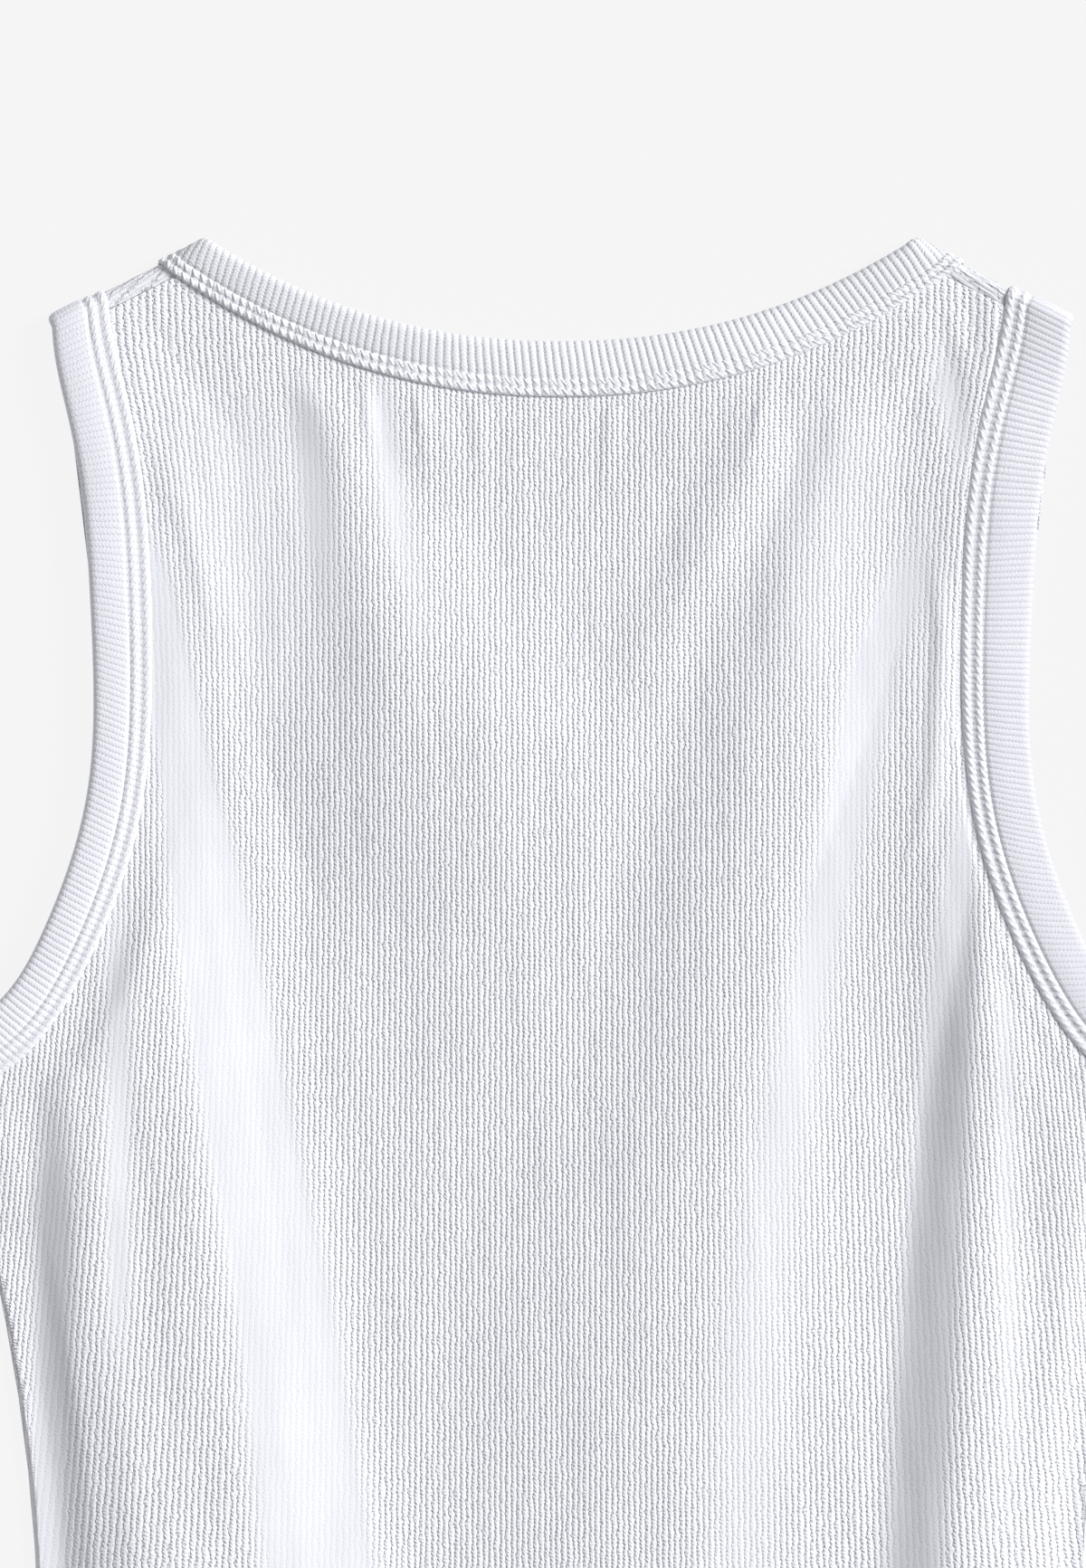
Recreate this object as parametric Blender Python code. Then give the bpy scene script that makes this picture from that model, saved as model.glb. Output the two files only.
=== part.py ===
"""A ribbed tank top laid flat on its front, back side up: two body panels and three folded rib bindings.

Plan sizes are in millimetres: x runs to the garment's right as it is seen from above, and depth runs down from
the neck points at the top of the shoulders to the hem. Every layer is a height over that plan. The front panel
and the outer leaves of the front bindings lie on the surface; the back panel and its bindings lie over them.
At the shoulders and at the sides the layers turn round a fold, at their own distance from its middle.
"""

import math

import bmesh
import bpy
import numpy as np
from mathutils import Vector
from mathutils.geometry import delaunay_2d_cdt

MM = 0.001

# Body
BODY_LENGTH = 520.0
MIDDLE_DEPTH = 259.6
NECK_HALF_WIDTH = 98.0
BACK_NECK_DROP = 28.5
BACK_NECK_POWER = 2.19
FRONT_NECK_DROP = 130.0
FRONT_NECK_POWER = 3.4
FRONT_ARMHOLE_SCOOP = 6.0
NECK_POINT = np.array([99.0, 0.0])
SHOULDER_TIP = np.array([140.5, 20.75])

# Outer edge of the back armhole, from the shoulder tip to the underarm: (x, depth)
ARMHOLE = (
    (140.5, 21.0),
    (139.9, 30.0),
    (135.8, 50.0),
    (132.2, 70.0),
    (129.8, 100.0),
    (128.9, 125.0),
    (130.2, 150.0),
    (134.7, 170.0),
    (142.3, 190.0),
    (154.5, 210.0),
    (170.0, 221.0),
)
# Side edge, from the underarm to the hem: (x, depth)
SIDE = (
    (170.0, 221.0),
    (162.4, 256.0),
    (155.0, 291.0),
    (148.4, 330.0),
    (145.0, 367.0),
    (144.2, 390.0),
    (146.0, 430.0),
    (150.5, 480.0),
    (154.5, 520.0),
)
UNDERARM = np.array(ARMHOLE[-1])

# Cloth
WALL = 1.0
GAP = 0.3
PITCH_RIB = 1.53
RIB_RISE = 0.34
SHOULDER_SEAM = 2.5

# Bindings
NECK_BINDING = 15.3
ARMHOLE_BINDINGS = {"left": 17.2, "right": 19.8}
# How far in from an edge the binding presses the layers flat, and how far in from the armhole the ribs fan
PRESSED_FLAT = 18.0
FAN_INSET = 16.0
NECK_RIB = 2.1
ARMHOLE_RIB = 1.7
RIDGE_RISE = 0.2
PANEL_EDGE_IN_BINDING = WALL + 2 * GAP
LAYER = WALL + GAP

# Distances of the layers from the middle of a fold, where two bindings and two panels lie on each other
INNER_LEAF = (GAP / 2, GAP / 2 + WALL)
PANEL = (INNER_LEAF[1] + GAP, INNER_LEAF[1] + GAP + WALL)
OUTER_LEAF = (PANEL[1] + GAP, PANEL[1] + GAP + WALL)
PILE = OUTER_LEAF[1]
THIN_PILE = GAP / 2 + WALL

# How the layers settle away from the bindings
BINDING_REACH = PRESSED_FLAT + 2.0
SETTLE = 30.0
FRONT_REACH = 28.0
FRONT_SETTLE = 42.0
NECK_SAG = 1.2
SAG_START = 34.0
SAG_LENGTH = 50.0

# Folds of the back panel. Each row: depth, x of the crest, height, width of its left and of its right flank
FOLDS = {
    "right_side": (
        (162, 120.0, 0.0, 6, 8),
        (186, 118.5, 1.0, 8, 8),
        (209, 115.5, 2.0, 10, 14),
        (234, 114.5, 3.4, 15, 28),
        (262, 114.5, 4.7, 20, 36),
        (309, 114.0, 5.5, 25, 38),
        (367, 111.0, 5.6, 27, 40),
        (440, 108.0, 5.0, 28, 40),
        (520, 105.0, 3.6, 28, 40),
    ),
    "right_outer": (
        (225, 139.0, 0.0, 12, 12),
        (245, 139.0, 1.1, 12, 12),
        (265, 141.0, 1.5, 15, 12),
        (310, 143.0, 1.7, 16, 10),
        (367, 143.0, 1.8, 16, 10),
        (440, 144.0, 1.2, 16, 12),
        (520, 146.0, 0.6, 16, 12),
    ),
    "right_armhole": (
        (60, 104.0, 0.0, 14, 14),
        (100, 104.0, 0.7, 14, 16),
        (150, 104.0, 0.7, 14, 14),
        (190, 108.0, 0.0, 14, 14),
    ),
    "left_edge": (
        (224, -136.0, 0.0, 14, 16),
        (240, -134.5, 2.3, 12, 18),
        (264, -132.5, 3.7, 16, 20),
        (289, -132.0, 4.1, 18, 22),
        (315, -130.5, 4.2, 21, 24),
        (340, -127.0, 4.4, 23, 28),
        (367, -122.0, 4.8, 26, 32),
        (440, -118.0, 4.6, 24, 32),
        (520, -122.0, 3.6, 24, 32),
    ),
    "left_hollow": (
        (80, -84.0, 0.0, 18, 22),
        (115, -82.0, -0.3, 20, 24),
        (150, -80.0, -0.35, 22, 28),
        (185, -74.0, 0.0, 24, 30),
    ),
    "left": (
        (150, -112.0, 0.0, 20, 30),
        (190, -109.0, 1.6, 30, 38),
        (230, -107.0, 4.4, 40, 46),
        (270, -104.0, 5.5, 44, 50),
        (310, -99.0, 6.0, 44, 54),
        (367, -92.0, 6.4, 40, 62),
        (440, -90.0, 5.5, 38, 62),
        (520, -88.0, 4.0, 36, 60),
    ),
    "middle": (
        (70, 66.0, 0.0, 26, 36),
        (110, 66.0, 2.4, 30, 38),
        (150, 59.0, 4.0, 36, 48),
        (190, 52.0, 4.8, 42, 50),
        (240, 46.0, 5.0, 54, 54),
        (300, 41.0, 4.8, 84, 54),
        (367, 26.0, 3.2, 62, 62),
        (440, 26.0, 2.0, 60, 54),
        (520, 26.0, 1.5, 60, 54),
    ),
    "centre": (
        (120, -10.0, 0.0, 40, 50),
        (150, -8.0, 0.5, 50, 60),
        (190, -8.0, 1.6, 50, 60),
        (235, -6.0, 1.2, 50, 56),
        (275, -6.0, 0.0, 50, 56),
    ),
    "neck_left": (
        (26, -70.0, 0.0, 9, 14),
        (40, -68.0, 1.0, 10, 22),
        (61, -60.0, 1.5, 14, 16),
        (86, -53.0, 2.6, 24, 38),
        (112, -45.0, 3.7, 30, 56),
        (137, -37.0, 3.9, 44, 74),
        (162, -32.0, 2.0, 46, 66),
        (190, -28.0, 0.7, 46, 46),
        (215, -26.0, 0.4, 44, 44),
        (250, -24.0, 0.0, 44, 44),
    ),
    "neck_right": (
        (36, 77.0, 0.0, 10, 18),
        (55, 77.0, 1.3, 12, 22),
        (80, 70.0, 1.5, 14, 24),
        (110, 63.0, 0.8, 16, 22),
        (140, 58.0, 0.0, 16, 20),
    ),
    "neck_middle": (
        (42, 57.0, 0.0, 13, 13),
        (62, 51.0, 1.5, 15, 14),
        (86, 40.0, 1.8, 16, 15),
        (112, 28.0, 1.3, 18, 16),
        (140, 20.0, 0.0, 18, 16),
    ),
}
FOLD_CLEAR_OF_BINDING = 10.0
FOLD_CLEAR_OF_SIDE = 8.0

# How the ribs fan: up the straps with the armhole bindings, and a little outwards below the arms
NARROWEST_ROW = 5
FAN_POWER = 4.0
FAN_MOST = 1.1
FLARE = 0.05
FLARE_AT = 100.0
FLARE_POWER = 2.5
FLARE_MOST = 1.3
FLARE_START = 190.0
FLARE_END = 400.0

# How far the curves of the plan run on past the folds that cut them
NECK_RUN_ON = 22.0
NECK_RUN_ON_SHARE = 1.35
ARMHOLE_RUN_ON = 16.0
SIDE_CHORD_END = 245.0
SIDE_RUN_ON = 4.0

# Clearances between the lines of one surface
SEAM_CLEAR = 0.15
SEAM_END_CLEAR = 1.2
RIB_CLEAR = 1.3
RIB_ROW_CLEAR = 12.0
SHORTEST_RIB = 6.0
FIRST_RIB_DEPTH = 5.0
FRONT_LINE_CLEAR = 3.0
FRONT_LINE_FROM_SIDE = 8.0

# Fineness
CURVE_POINTS = 400
SIDE_POINTS = 150
SIDE_STEPS = (8.0, 16.0, 26.0, 38.0, 54.0, 75.0, 105.0, 145.0, 190.0, 240.0)
SHOULDER_POINTS = 3
HEM_POINTS = 23
SLOPE_STEP = 0.5
RIB_TRACE_STEP = 0.5
FRONT_LINES = (10.0, 24.0, 38.0)
ARMHOLE_STATIONS = 21
NECK_BACK_STATIONS = 21
NECK_FRONT_STATIONS = 33
LEAST_STEP = 0.01
FIRST_ROW = 58.0
ROW_STEP = 38.0
ROW_GROWTH = 3.0
ROWS = 8
COARSE_RIBS = 3
TURN_STEP = math.radians(30)
OUTER_TURN = np.radians([60.0, 30.0, 0.0])
INNER_TURN = np.radians([45.0, 0.0])

COLOURS = {
    "back_panel": (0.80, 0.81, 0.86, 1),
    "front_panel": (0.76, 0.77, 0.82, 1),
    "neck_binding": (0.83, 0.84, 0.89, 1),
    "armhole_binding_left": (0.83, 0.84, 0.89, 1),
    "armhole_binding_right": (0.83, 0.84, 0.89, 1),
}


# ---------------------------------------------------------------- curves of the plan


def smooth(t):
    """0 below 0, 1 above 1, and an S between them."""
    t = np.clip(t, 0.0, 1.0)
    return t * t * (3.0 - 2.0 * t)


def spline(at, values, where):
    """A natural cubic through values at the increasing positions at, read at where, straight past its ends."""
    at, values = np.asarray(at, float), np.asarray(values, float)
    gap = np.diff(at)
    slope = np.diff(values) / gap
    n = len(at)
    system, right = np.eye(n), np.zeros(n)
    for i in range(1, n - 1):
        system[i, i - 1 : i + 2] = gap[i - 1], 2 * (gap[i - 1] + gap[i]), gap[i]
        right[i] = 6 * (slope[i] - slope[i - 1])
    bend = np.linalg.solve(system, right)
    where = np.asarray(where, float)
    inside = np.clip(where, at[0], at[-1])
    i = np.clip(np.searchsorted(at, inside) - 1, 0, n - 2)
    a, b = (at[i + 1] - inside) / gap[i], (inside - at[i]) / gap[i]
    curve = a * values[i] + b * values[i + 1]
    curve += ((a**3 - a) * bend[i] + (b**3 - b) * bend[i + 1]) * gap[i] ** 2 / 6
    start = slope[0] - gap[0] * bend[1] / 6
    end = slope[-1] + gap[-1] * bend[-2] / 6
    return curve + start * np.minimum(where - at[0], 0) + end * np.maximum(where - at[-1], 0)


def along(points):
    """Distance along a polyline at each of its points."""
    return np.append(0.0, np.cumsum(np.linalg.norm(np.diff(points, axis=0), axis=1)))


def read_curve(points, share):
    """Points at the given shares, 0 to 1, of a polyline's length."""
    length = along(points)
    at = np.asarray(share) * length[-1]
    return np.column_stack([np.interp(at, length, points[:, k]) for k in (0, 1)])


def normals_left(points):
    """Unit vectors square to a polyline, on its left when x runs right and depth runs down."""
    run = np.gradient(points, axis=0)
    run /= np.linalg.norm(run, axis=1)[:, None]
    return np.column_stack([run[:, 1], -run[:, 0]])


def neck_curve(drop, power):
    """Outer edge of the neck binding, from the left shoulder to the right, run on past the shoulder folds."""
    angle = np.linspace(-1, 1, CURVE_POINTS) * math.pi / 2
    x = (NECK_HALF_WIDTH + NECK_RUN_ON) * np.sin(angle)
    keep = np.abs(x / NECK_HALF_WIDTH) ** power < NECK_RUN_ON_SHARE
    x = x[keep]
    return np.column_stack([x, drop * (1 - np.abs(x / NECK_HALF_WIDTH) ** power)])


def armhole_curve(scoop):
    """Outer edge of the right armhole, from past the shoulder fold to past the side."""
    table = np.array(ARMHOLE)
    length = along(table)
    where = np.linspace(-ARMHOLE_RUN_ON, length[-1] + ARMHOLE_RUN_ON, CURVE_POINTS)
    points = np.column_stack([spline(length, table[:, k], where) for k in (0, 1)])
    down = (points[:, 1] - SHOULDER_TIP[1]) / (UNDERARM[1] - SHOULDER_TIP[1])
    points[:, 0] -= scoop * np.sin(math.pi * np.clip(down, 0, 1)) ** 2
    return points


def side_x(depth):
    """Half width of the body at a depth under the arms."""
    table = np.array(SIDE)
    return spline(table[:, 1], table[:, 0], depth)


def distance_to(points, curve):
    """Shortest distance from each point to a polyline."""
    start, run = curve[:-1], np.diff(curve, axis=0)
    offset = points[:, None, :] - start[None]
    share = np.clip((offset * run).sum(2) / (run**2).sum(1), 0, 1)
    return np.linalg.norm(offset - share[..., None] * run, axis=2).min(1)


# A fold of the plan: the line that the layers turn round, with the normal that points out of the garment
SHOULDER_RUN = (SHOULDER_TIP - NECK_POINT) / np.linalg.norm(SHOULDER_TIP - NECK_POINT)
SHOULDER_OUT = np.array([SHOULDER_RUN[1], -SHOULDER_RUN[0]])
SIDE_RUN = np.array([side_x(SIDE_CHORD_END) - UNDERARM[0], SIDE_CHORD_END - UNDERARM[1]])
SIDE_RUN /= np.linalg.norm(SIDE_RUN)
SIDE_OUT = np.array([SIDE_RUN[1], -SIDE_RUN[0]])
MIRROR = np.array([-1.0, 1.0])


def inside_fold(points, on_fold, outward, inset):
    """How far points lie inside the line that runs inset from a fold."""
    return -((points - on_fold) @ outward) - inset


def clipped(points, *insides):
    """The stretch of a polyline where every function in insides is positive, ending exactly where one is 0."""
    for inside in insides:
        value = inside(points)
        kept = np.flatnonzero(value > 0)
        first, last = kept[0], kept[-1]
        stretch = [points[first : last + 1]]
        if first > 0:
            t = value[first] / (value[first] - value[first - 1])
            stretch.insert(0, (points[first] + t * (points[first - 1] - points[first]))[None])
        if last < len(points) - 1:
            t = value[last] / (value[last] - value[last + 1])
            stretch.append((points[last] + t * (points[last + 1] - points[last]))[None])
        points = np.vstack(stretch)
    return points


def right_shoulder(points, inset=PILE):
    return inside_fold(points, NECK_POINT, SHOULDER_OUT, inset)


def left_shoulder(points, inset=PILE):
    return inside_fold(points * MIRROR, NECK_POINT, SHOULDER_OUT, inset)


def right_side(points, inset=PILE):
    return inside_fold(points, UNDERARM, SIDE_OUT, inset)


class Strip:
    """A binding over one panel: its outer edge and its ridge, both cut at the folds where it turns."""

    def __init__(self, curve, width, inward, *folds):
        ridge = curve + inward * width
        self.curve = curve
        self.outer = clipped(curve, *folds)
        self.ridge = clipped(ridge, *folds)
        self.length = along(self.outer)[-1]

    def edges(self, share):
        return read_curve(self.outer, share), read_curve(self.ridge, share)

    def line(self, share, from_edge=0.0, from_ridge=None):
        """Points a fixed distance in from the outer edge, or out from the ridge when that is given."""
        outer, ridge = self.edges(share)
        across = ridge - outer
        width = np.linalg.norm(across, axis=1)[:, None]
        reach = from_edge if from_ridge is None else width + from_ridge
        return outer + across / width * reach


def neck_strip(drop, power):
    curve = neck_curve(drop, power)
    return Strip(curve, NECK_BINDING, -normals_left(curve), left_shoulder, right_shoulder)


def armhole_strip(scoop, width):
    curve = armhole_curve(scoop)
    return Strip(curve, width, -normals_left(curve), right_shoulder, right_side)


NECK = {
    "back": neck_strip(BACK_NECK_DROP, BACK_NECK_POWER),
    "front": neck_strip(FRONT_NECK_DROP, FRONT_NECK_POWER),
}
ARM = {
    side: {"back": armhole_strip(0.0, width), "front": armhole_strip(FRONT_ARMHOLE_SCOOP, width)}
    for side, width in ARMHOLE_BINDINGS.items()
}
NECK_SHARES = {"back": np.linspace(0, 1, NECK_BACK_STATIONS), "front": np.linspace(0, 1, NECK_FRONT_STATIONS)}
ARM_SHARES = np.linspace(0, 1, ARMHOLE_STATIONS)


# ---------------------------------------------------------------- heights over the plan


def edge_distance(points, panel):
    """Distance to the nearest neck or armhole edge of a panel."""
    arm = ARM["right"][panel].curve
    found = [distance_to(points, edge) for edge in (NECK[panel].curve, arm, arm * MIRROR)]
    return np.min(found, axis=0)


def near_front_binding(points):
    """1 over the front bindings, 0 where the front panel has settled to the surface."""
    return 1 - smooth((edge_distance(points, "front") - BINDING_REACH) / SETTLE)


def front_height(points):
    """Underside of the front panel."""
    return LAYER * near_front_binding(points)


def side_pile(depth):
    """1 where the bindings pile up at the side, 0 down the body, along the side edge."""
    return near_front_binding(np.column_stack([side_x(depth), depth]))


def from_side(points):
    return side_x(points[:, 1]) - np.abs(points[:, 0])


def fold_height(points):
    """Height of the back panel's folds: each a ridge with its own soft flanks."""
    x, depth = points.T
    total = np.zeros(len(points))
    for rows in FOLDS.values():
        at, crest, height, left, right = np.array(rows, float).T
        middle = np.interp(depth, at, crest)
        flank = np.where(x < middle, np.interp(depth, at, left), np.interp(depth, at, right))
        rise = np.interp(depth, at, height, left=0.0)
        total += rise * (1 + np.cos(math.pi * np.clip((x - middle) / flank, -1, 1))) / 2
    total *= smooth((edge_distance(points, "back") - BINDING_REACH + 1) / FOLD_CLEAR_OF_BINDING)
    return total * smooth((from_side(points) - THIN_PILE) / FOLD_CLEAR_OF_SIDE)


def back_height(points):
    """Inner side of the back panel, over the front panel, its bindings and the bindings' own inner leaves."""
    x, depth = points.T
    reach = edge_distance(points, "front")
    in_scoop = depth < FRONT_NECK_DROP * (1 - np.abs(x / NECK_HALF_WIDTH) ** FRONT_NECK_POWER)
    over_front = 1 - smooth((np.where(in_scoop, 0.0, reach) - FRONT_REACH) / FRONT_SETTLE)
    over_leaf = 1 - smooth((edge_distance(points, "back") - BINDING_REACH) / SETTLE)
    sag = NECK_SAG * np.where(in_scoop, smooth((reach - SAG_START) / SAG_LENGTH), 0.0)
    middle = LAYER + 2 * LAYER * over_front + LAYER * over_leaf - sag + fold_height(points)
    edge = LAYER + 3 * LAYER * side_pile(np.maximum(depth, UNDERARM[1]))
    return edge + (middle - edge) * smooth((from_side(points) - THIN_PILE) / (2 * FOLD_CLEAR_OF_SIDE))


def back_outside(points, rise):
    """Outer side of the back panel, one wall out from its inner side, with a rib's rise."""
    base = back_height(points)
    slopes = [(back_height(points + np.eye(2)[k] * SLOPE_STEP) - base) / SLOPE_STEP for k in (0, 1)]
    return base + WALL * np.sqrt(1 + slopes[0] ** 2 + slopes[1] ** 2) + rise


# ---------------------------------------------------------------- meshes


class Shape:
    """Points and faces of one closed piece, in plan millimetres."""

    def __init__(self):
        self.points = []
        self.faces = []

    def add(self, plan, height):
        first = len(self.points)
        self.points.extend(np.column_stack([plan, np.broadcast_to(height, len(plan))]))
        return list(range(first, len(self.points)))

    def grid(self, rows, closed=False):
        """Quads between rows of equal length, and from the last back to the first when closed."""
        pairs = list(zip(rows, rows[1:]))
        if closed:
            pairs.append((rows[-1], rows[0]))
        for one, two in pairs:
            self.faces.extend(zip(one, one[1:], two[1:], two))

    def zip_rows(self, one, share_one, two, share_two):
        """Triangles between two rows with different spacing."""
        i = j = 0
        while i < len(one) - 1 or j < len(two) - 1:
            step_one = j == len(two) - 1 or (i < len(one) - 1 and share_one[i + 1] <= share_two[j + 1])
            if step_one:
                self.faces.append((one[i], one[i + 1], two[j]))
                i += 1
            else:
                self.faces.append((one[i], two[j + 1], two[j]))
                j += 1

    def surface(self, loop, lines, height, rises=None):
        """The plan inside a loop, with every line kept as an edge, lifted to height. Returns the loop's points."""
        plan = np.vstack([loop, *lines])
        edges = [(i, (i + 1) % len(loop)) for i in range(len(loop))]
        first = len(loop)
        for line in lines:
            edges += [(i, i + 1) for i in range(first, first + len(line) - 1)]
            first += len(line)
        corners, _, faces, origin, _, _ = delaunay_2d_cdt([Vector(p) for p in plan], edges, [], 1, 1e-5)
        assert len(corners) == len(plan), "two lines of the plan cross"
        lift = np.zeros(len(plan))
        if rises is not None:
            lift[len(loop) :] = np.concatenate(rises)
        index = self.add(plan, height(plan) if rises is None else height(plan, lift))
        self.faces.extend([index[origin[v][0]] for v in face] for face in faces)
        return index[: len(loop)]

    def build(self, name):
        points = np.array(self.points)
        points[:, 1] = MIDDLE_DEPTH - points[:, 1]
        mesh = bpy.data.meshes.new(name)
        mesh.from_pydata([tuple(p) for p in points * MM], [], [tuple(map(int, f)) for f in self.faces])
        shape = bmesh.new()
        shape.from_mesh(mesh)
        bmesh.ops.recalc_face_normals(shape, faces=shape.faces[:])
        shape.to_mesh(mesh)
        shape.free()
        piece = bpy.data.objects.new(name, mesh)
        bpy.context.scene.collection.objects.link(piece)
        material = bpy.data.materials.new(name)
        material.use_nodes = True
        finish = material.node_tree.nodes["Principled BSDF"]
        finish.inputs["Base Color"].default_value = COLOURS[name]
        finish.inputs["Roughness"].default_value = 0.9
        finish.inputs["Metallic"].default_value = 0.0
        mesh.materials.append(material)
        return piece


# ---------------------------------------------------------------- bindings

# The folded strip, cut across: (share of the width, offset from there, distance from the middle of the pile)
SECTION = (
    (1, 0.0, OUTER_LEAF[0]),
    (1, -0.3, OUTER_LEAF[1] + RIDGE_RISE),
    (1, -1.5, OUTER_LEAF[1]),
    (1, -2.4, OUTER_LEAF[1]),
    (0, 1.7, OUTER_LEAF[1]),
    (0, 0.4, OUTER_LEAF[1] - 0.4),
    (0, 0.0, PILE / 2),
    (0, 0.4, INNER_LEAF[0] + 0.4),
    (0, 1.7, INNER_LEAF[0]),
    (1, -1.0, INNER_LEAF[0]),
    (1, -1.0, INNER_LEAF[1]),
    (0, LAYER, INNER_LEAF[1]),
    (0, LAYER, OUTER_LEAF[0]),
)
RIDGE, SMOOTH_START, RIB_START, RIB_END, BEND_START = 1, 2, 3, 4, 5


def section_points(outer, ridge, rows=SECTION):
    """Plan places (station, row, 2) of the section's rows, and their distances from the middle."""
    share, offset, away = np.array(rows).T
    across = ridge - outer
    width = np.linalg.norm(across, axis=1)
    across = across / width[:, None]
    reach = width[:, None] * share + offset
    return outer[:, None, :] + across[:, None, :] * reach[..., None], np.tile(away, (len(outer), 1))


def layer_height(plan, away, panel):
    """Height of a layer of a binding, told by its distance from the middle of the pile."""
    flat = plan.reshape(-1, 2)
    if panel == "back":
        return back_height(flat).reshape(away.shape) + away - PANEL[0]
    away = np.minimum(away, OUTER_LEAF[1])
    return front_height(flat).reshape(away.shape) + WALL - (away - PANEL[0])


def turned(shape, outer, ridge, outward, angles):
    """Stations that turn round a fold: angle +90 is on the back, -90 on the front."""
    rows = []
    for angle in angles:
        plan, away = section_points(outer[None], ridge[None])
        rise = (1 + math.sin(angle)) / 2
        away = np.where(away > OUTER_LEAF[1], OUTER_LEAF[1] + (away - OUTER_LEAF[1]) * rise, away)
        places = plan[0] + outward * (away[0] * math.cos(angle))[:, None]
        rows.append(shape.add(places, PILE + away[0] * math.sin(angle)))
    return rows


TURN = np.arange(1, round(math.pi / TURN_STEP)) * TURN_STEP - math.pi / 2


def binding(name, back, front, shares, first_out, last_out, rib, mirror=False):
    """A binding ring: over the back, round its last fold, back along the front and round its first fold.

    back and front run the same way, from the first fold to the last.
    """
    shape = Shape()
    back_rows, back_ridges = [], back.edges(shares["back"])
    plan, away = section_points(*back_ridges)
    height = layer_height(plan, away, "back")
    for k in range(len(plan)):
        back_rows.append(shape.add(plan[k], height[k]))
    plan, away = section_points(*front.edges(shares["front"][::-1]))
    height = layer_height(plan, away, "front")
    front_rows = [shape.add(plan[k], height[k]) for k in range(len(plan))]
    last = turned(shape, back_ridges[0][-1], back_ridges[1][-1], last_out, TURN[::-1])
    first = turned(shape, back_ridges[0][0], back_ridges[1][0], first_out, TURN)
    around = back_rows + last + front_rows + first

    def closed_section(row):
        return row + row[:1]

    back_cells = len(back_rows) - 1
    shape.grid([closed_section(row) for row in around[back_cells:]] + [closed_section(around[0])])
    for one, two in zip(back_rows, back_rows[1:]):
        shape.grid([one[: SMOOTH_START + 1], two[: SMOOTH_START + 1]])
        shape.grid([closed_section(one)[BEND_START:], closed_section(two)[BEND_START:]])

    count = 2 * round(back.length / rib)
    fine = np.linspace(0, 1, count + 1)
    plan, away = section_points(*back.edges(fine), SECTION[RIB_START : RIB_END + 1])
    rise = np.where(np.arange(count + 1) % 2, RIB_RISE, 0.0)
    height = layer_height(plan, away, "back") + rise[:, None]
    edges = []
    for k, coarse in enumerate((RIB_START, RIB_END)):
        inner = shape.add(plan[1:-1, k], height[1:-1, k])
        edges.append([back_rows[0][coarse], *inner, back_rows[-1][coarse]])
    shape.grid(edges)
    for fine_row, coarse in ((edges[0], SMOOTH_START), (edges[1], BEND_START)):
        coarse_row = [row[coarse] for row in back_rows]
        shape.zip_rows(coarse_row, shares["back"], fine_row, fine)
    if mirror:
        for point in shape.points:
            point[0] = -point[0]
    return shape.build(name)


# ---------------------------------------------------------------- panels


def side_edge():
    """Middle line of the side fold from the underarm to the hem, with its normals and the pile's half height."""
    depth = np.linspace(UNDERARM[1] - SIDE_RUN_ON, BODY_LENGTH, SIDE_POINTS)
    edge = np.column_stack([side_x(depth), depth])
    outward = normals_left(edge)
    pile = THIN_PILE + 2 * LAYER * near_front_binding(edge)
    middle = edge - outward * pile[:, None]
    middle[-1, 1] = BODY_LENGTH
    return middle, outward, pile


def side_run(flange_end):
    """Points of the side boundary from where the armhole flange ends down to the hem."""
    middle, outward, pile = side_edge()
    start = np.argmin(np.linalg.norm(middle - flange_end, axis=1))
    depth = np.append(flange_end[1] + np.array(SIDE_STEPS), BODY_LENGTH)
    depth = np.append(flange_end[1], depth[depth <= BODY_LENGTH])
    columns = np.column_stack([middle, outward, pile])
    read = np.column_stack([np.interp(depth, middle[:, 1], columns[:, k]) for k in range(5)])
    read[0, :2] = flange_end
    read[0, 2:] = columns[start, 2:]
    return read


def panel_loop(panel, shoulder_inset):
    """Right half of a panel's boundary, from the middle of the neck to the middle of the hem, by stretches."""
    neck = NECK[panel].line(NECK_SHARES[panel], PANEL_EDGE_IN_BINDING)
    neck = clipped(neck, lambda p: right_shoulder(p, shoulder_inset))
    neck = neck[neck[:, 0] >= -1e-6]
    stretches = {"shoulder": {}, "arm": {}, "side": {}}
    for side in ("right", "left"):
        strip = ARM[side][panel]
        arm = strip.line(ARM_SHARES, PANEL_EDGE_IN_BINDING)
        arm = clipped(arm, lambda p: right_shoulder(p, shoulder_inset))
        steps = np.linspace(0, 1, SHOULDER_POINTS + 2)[1:-1, None]
        stretches["shoulder"][side] = neck[-1] + (arm[0] - neck[-1]) * steps
        stretches["arm"][side] = arm
        stretches["side"][side] = side_run(arm[-1])
    return neck, stretches


def panel_boundary(panel, shoulder_inset):
    """The whole boundary loop, clockwise from the middle of the neck, with the places of its named stretches."""
    neck, stretches = panel_loop(panel, shoulder_inset)
    pieces, spans = [], {}
    total = 0

    def put(name, points):
        nonlocal total
        spans[name] = (total, total + len(points))
        pieces.append(points)
        total += len(points)

    hem_x = stretches["side"]["right"][-1, 0]
    hem = np.linspace(hem_x, -hem_x, HEM_POINTS + 2)[1:-1]
    put("neck_right", neck)
    put("shoulder_right", stretches["shoulder"]["right"])
    put("arm_right", stretches["arm"]["right"][:-1])
    put("side_right", stretches["side"]["right"][:, :2])
    put("hem", np.column_stack([hem, np.full(len(hem), BODY_LENGTH)]))
    put("side_left", stretches["side"]["left"][::-1, :2] * MIRROR)
    put("arm_left", stretches["arm"]["left"][:-1][::-1] * MIRROR)
    put("shoulder_left", stretches["shoulder"]["left"][::-1] * MIRROR)
    put("neck_left", neck[neck[:, 0] > 1e-6][::-1] * MIRROR)
    return np.vstack(pieces), spans, stretches


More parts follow.
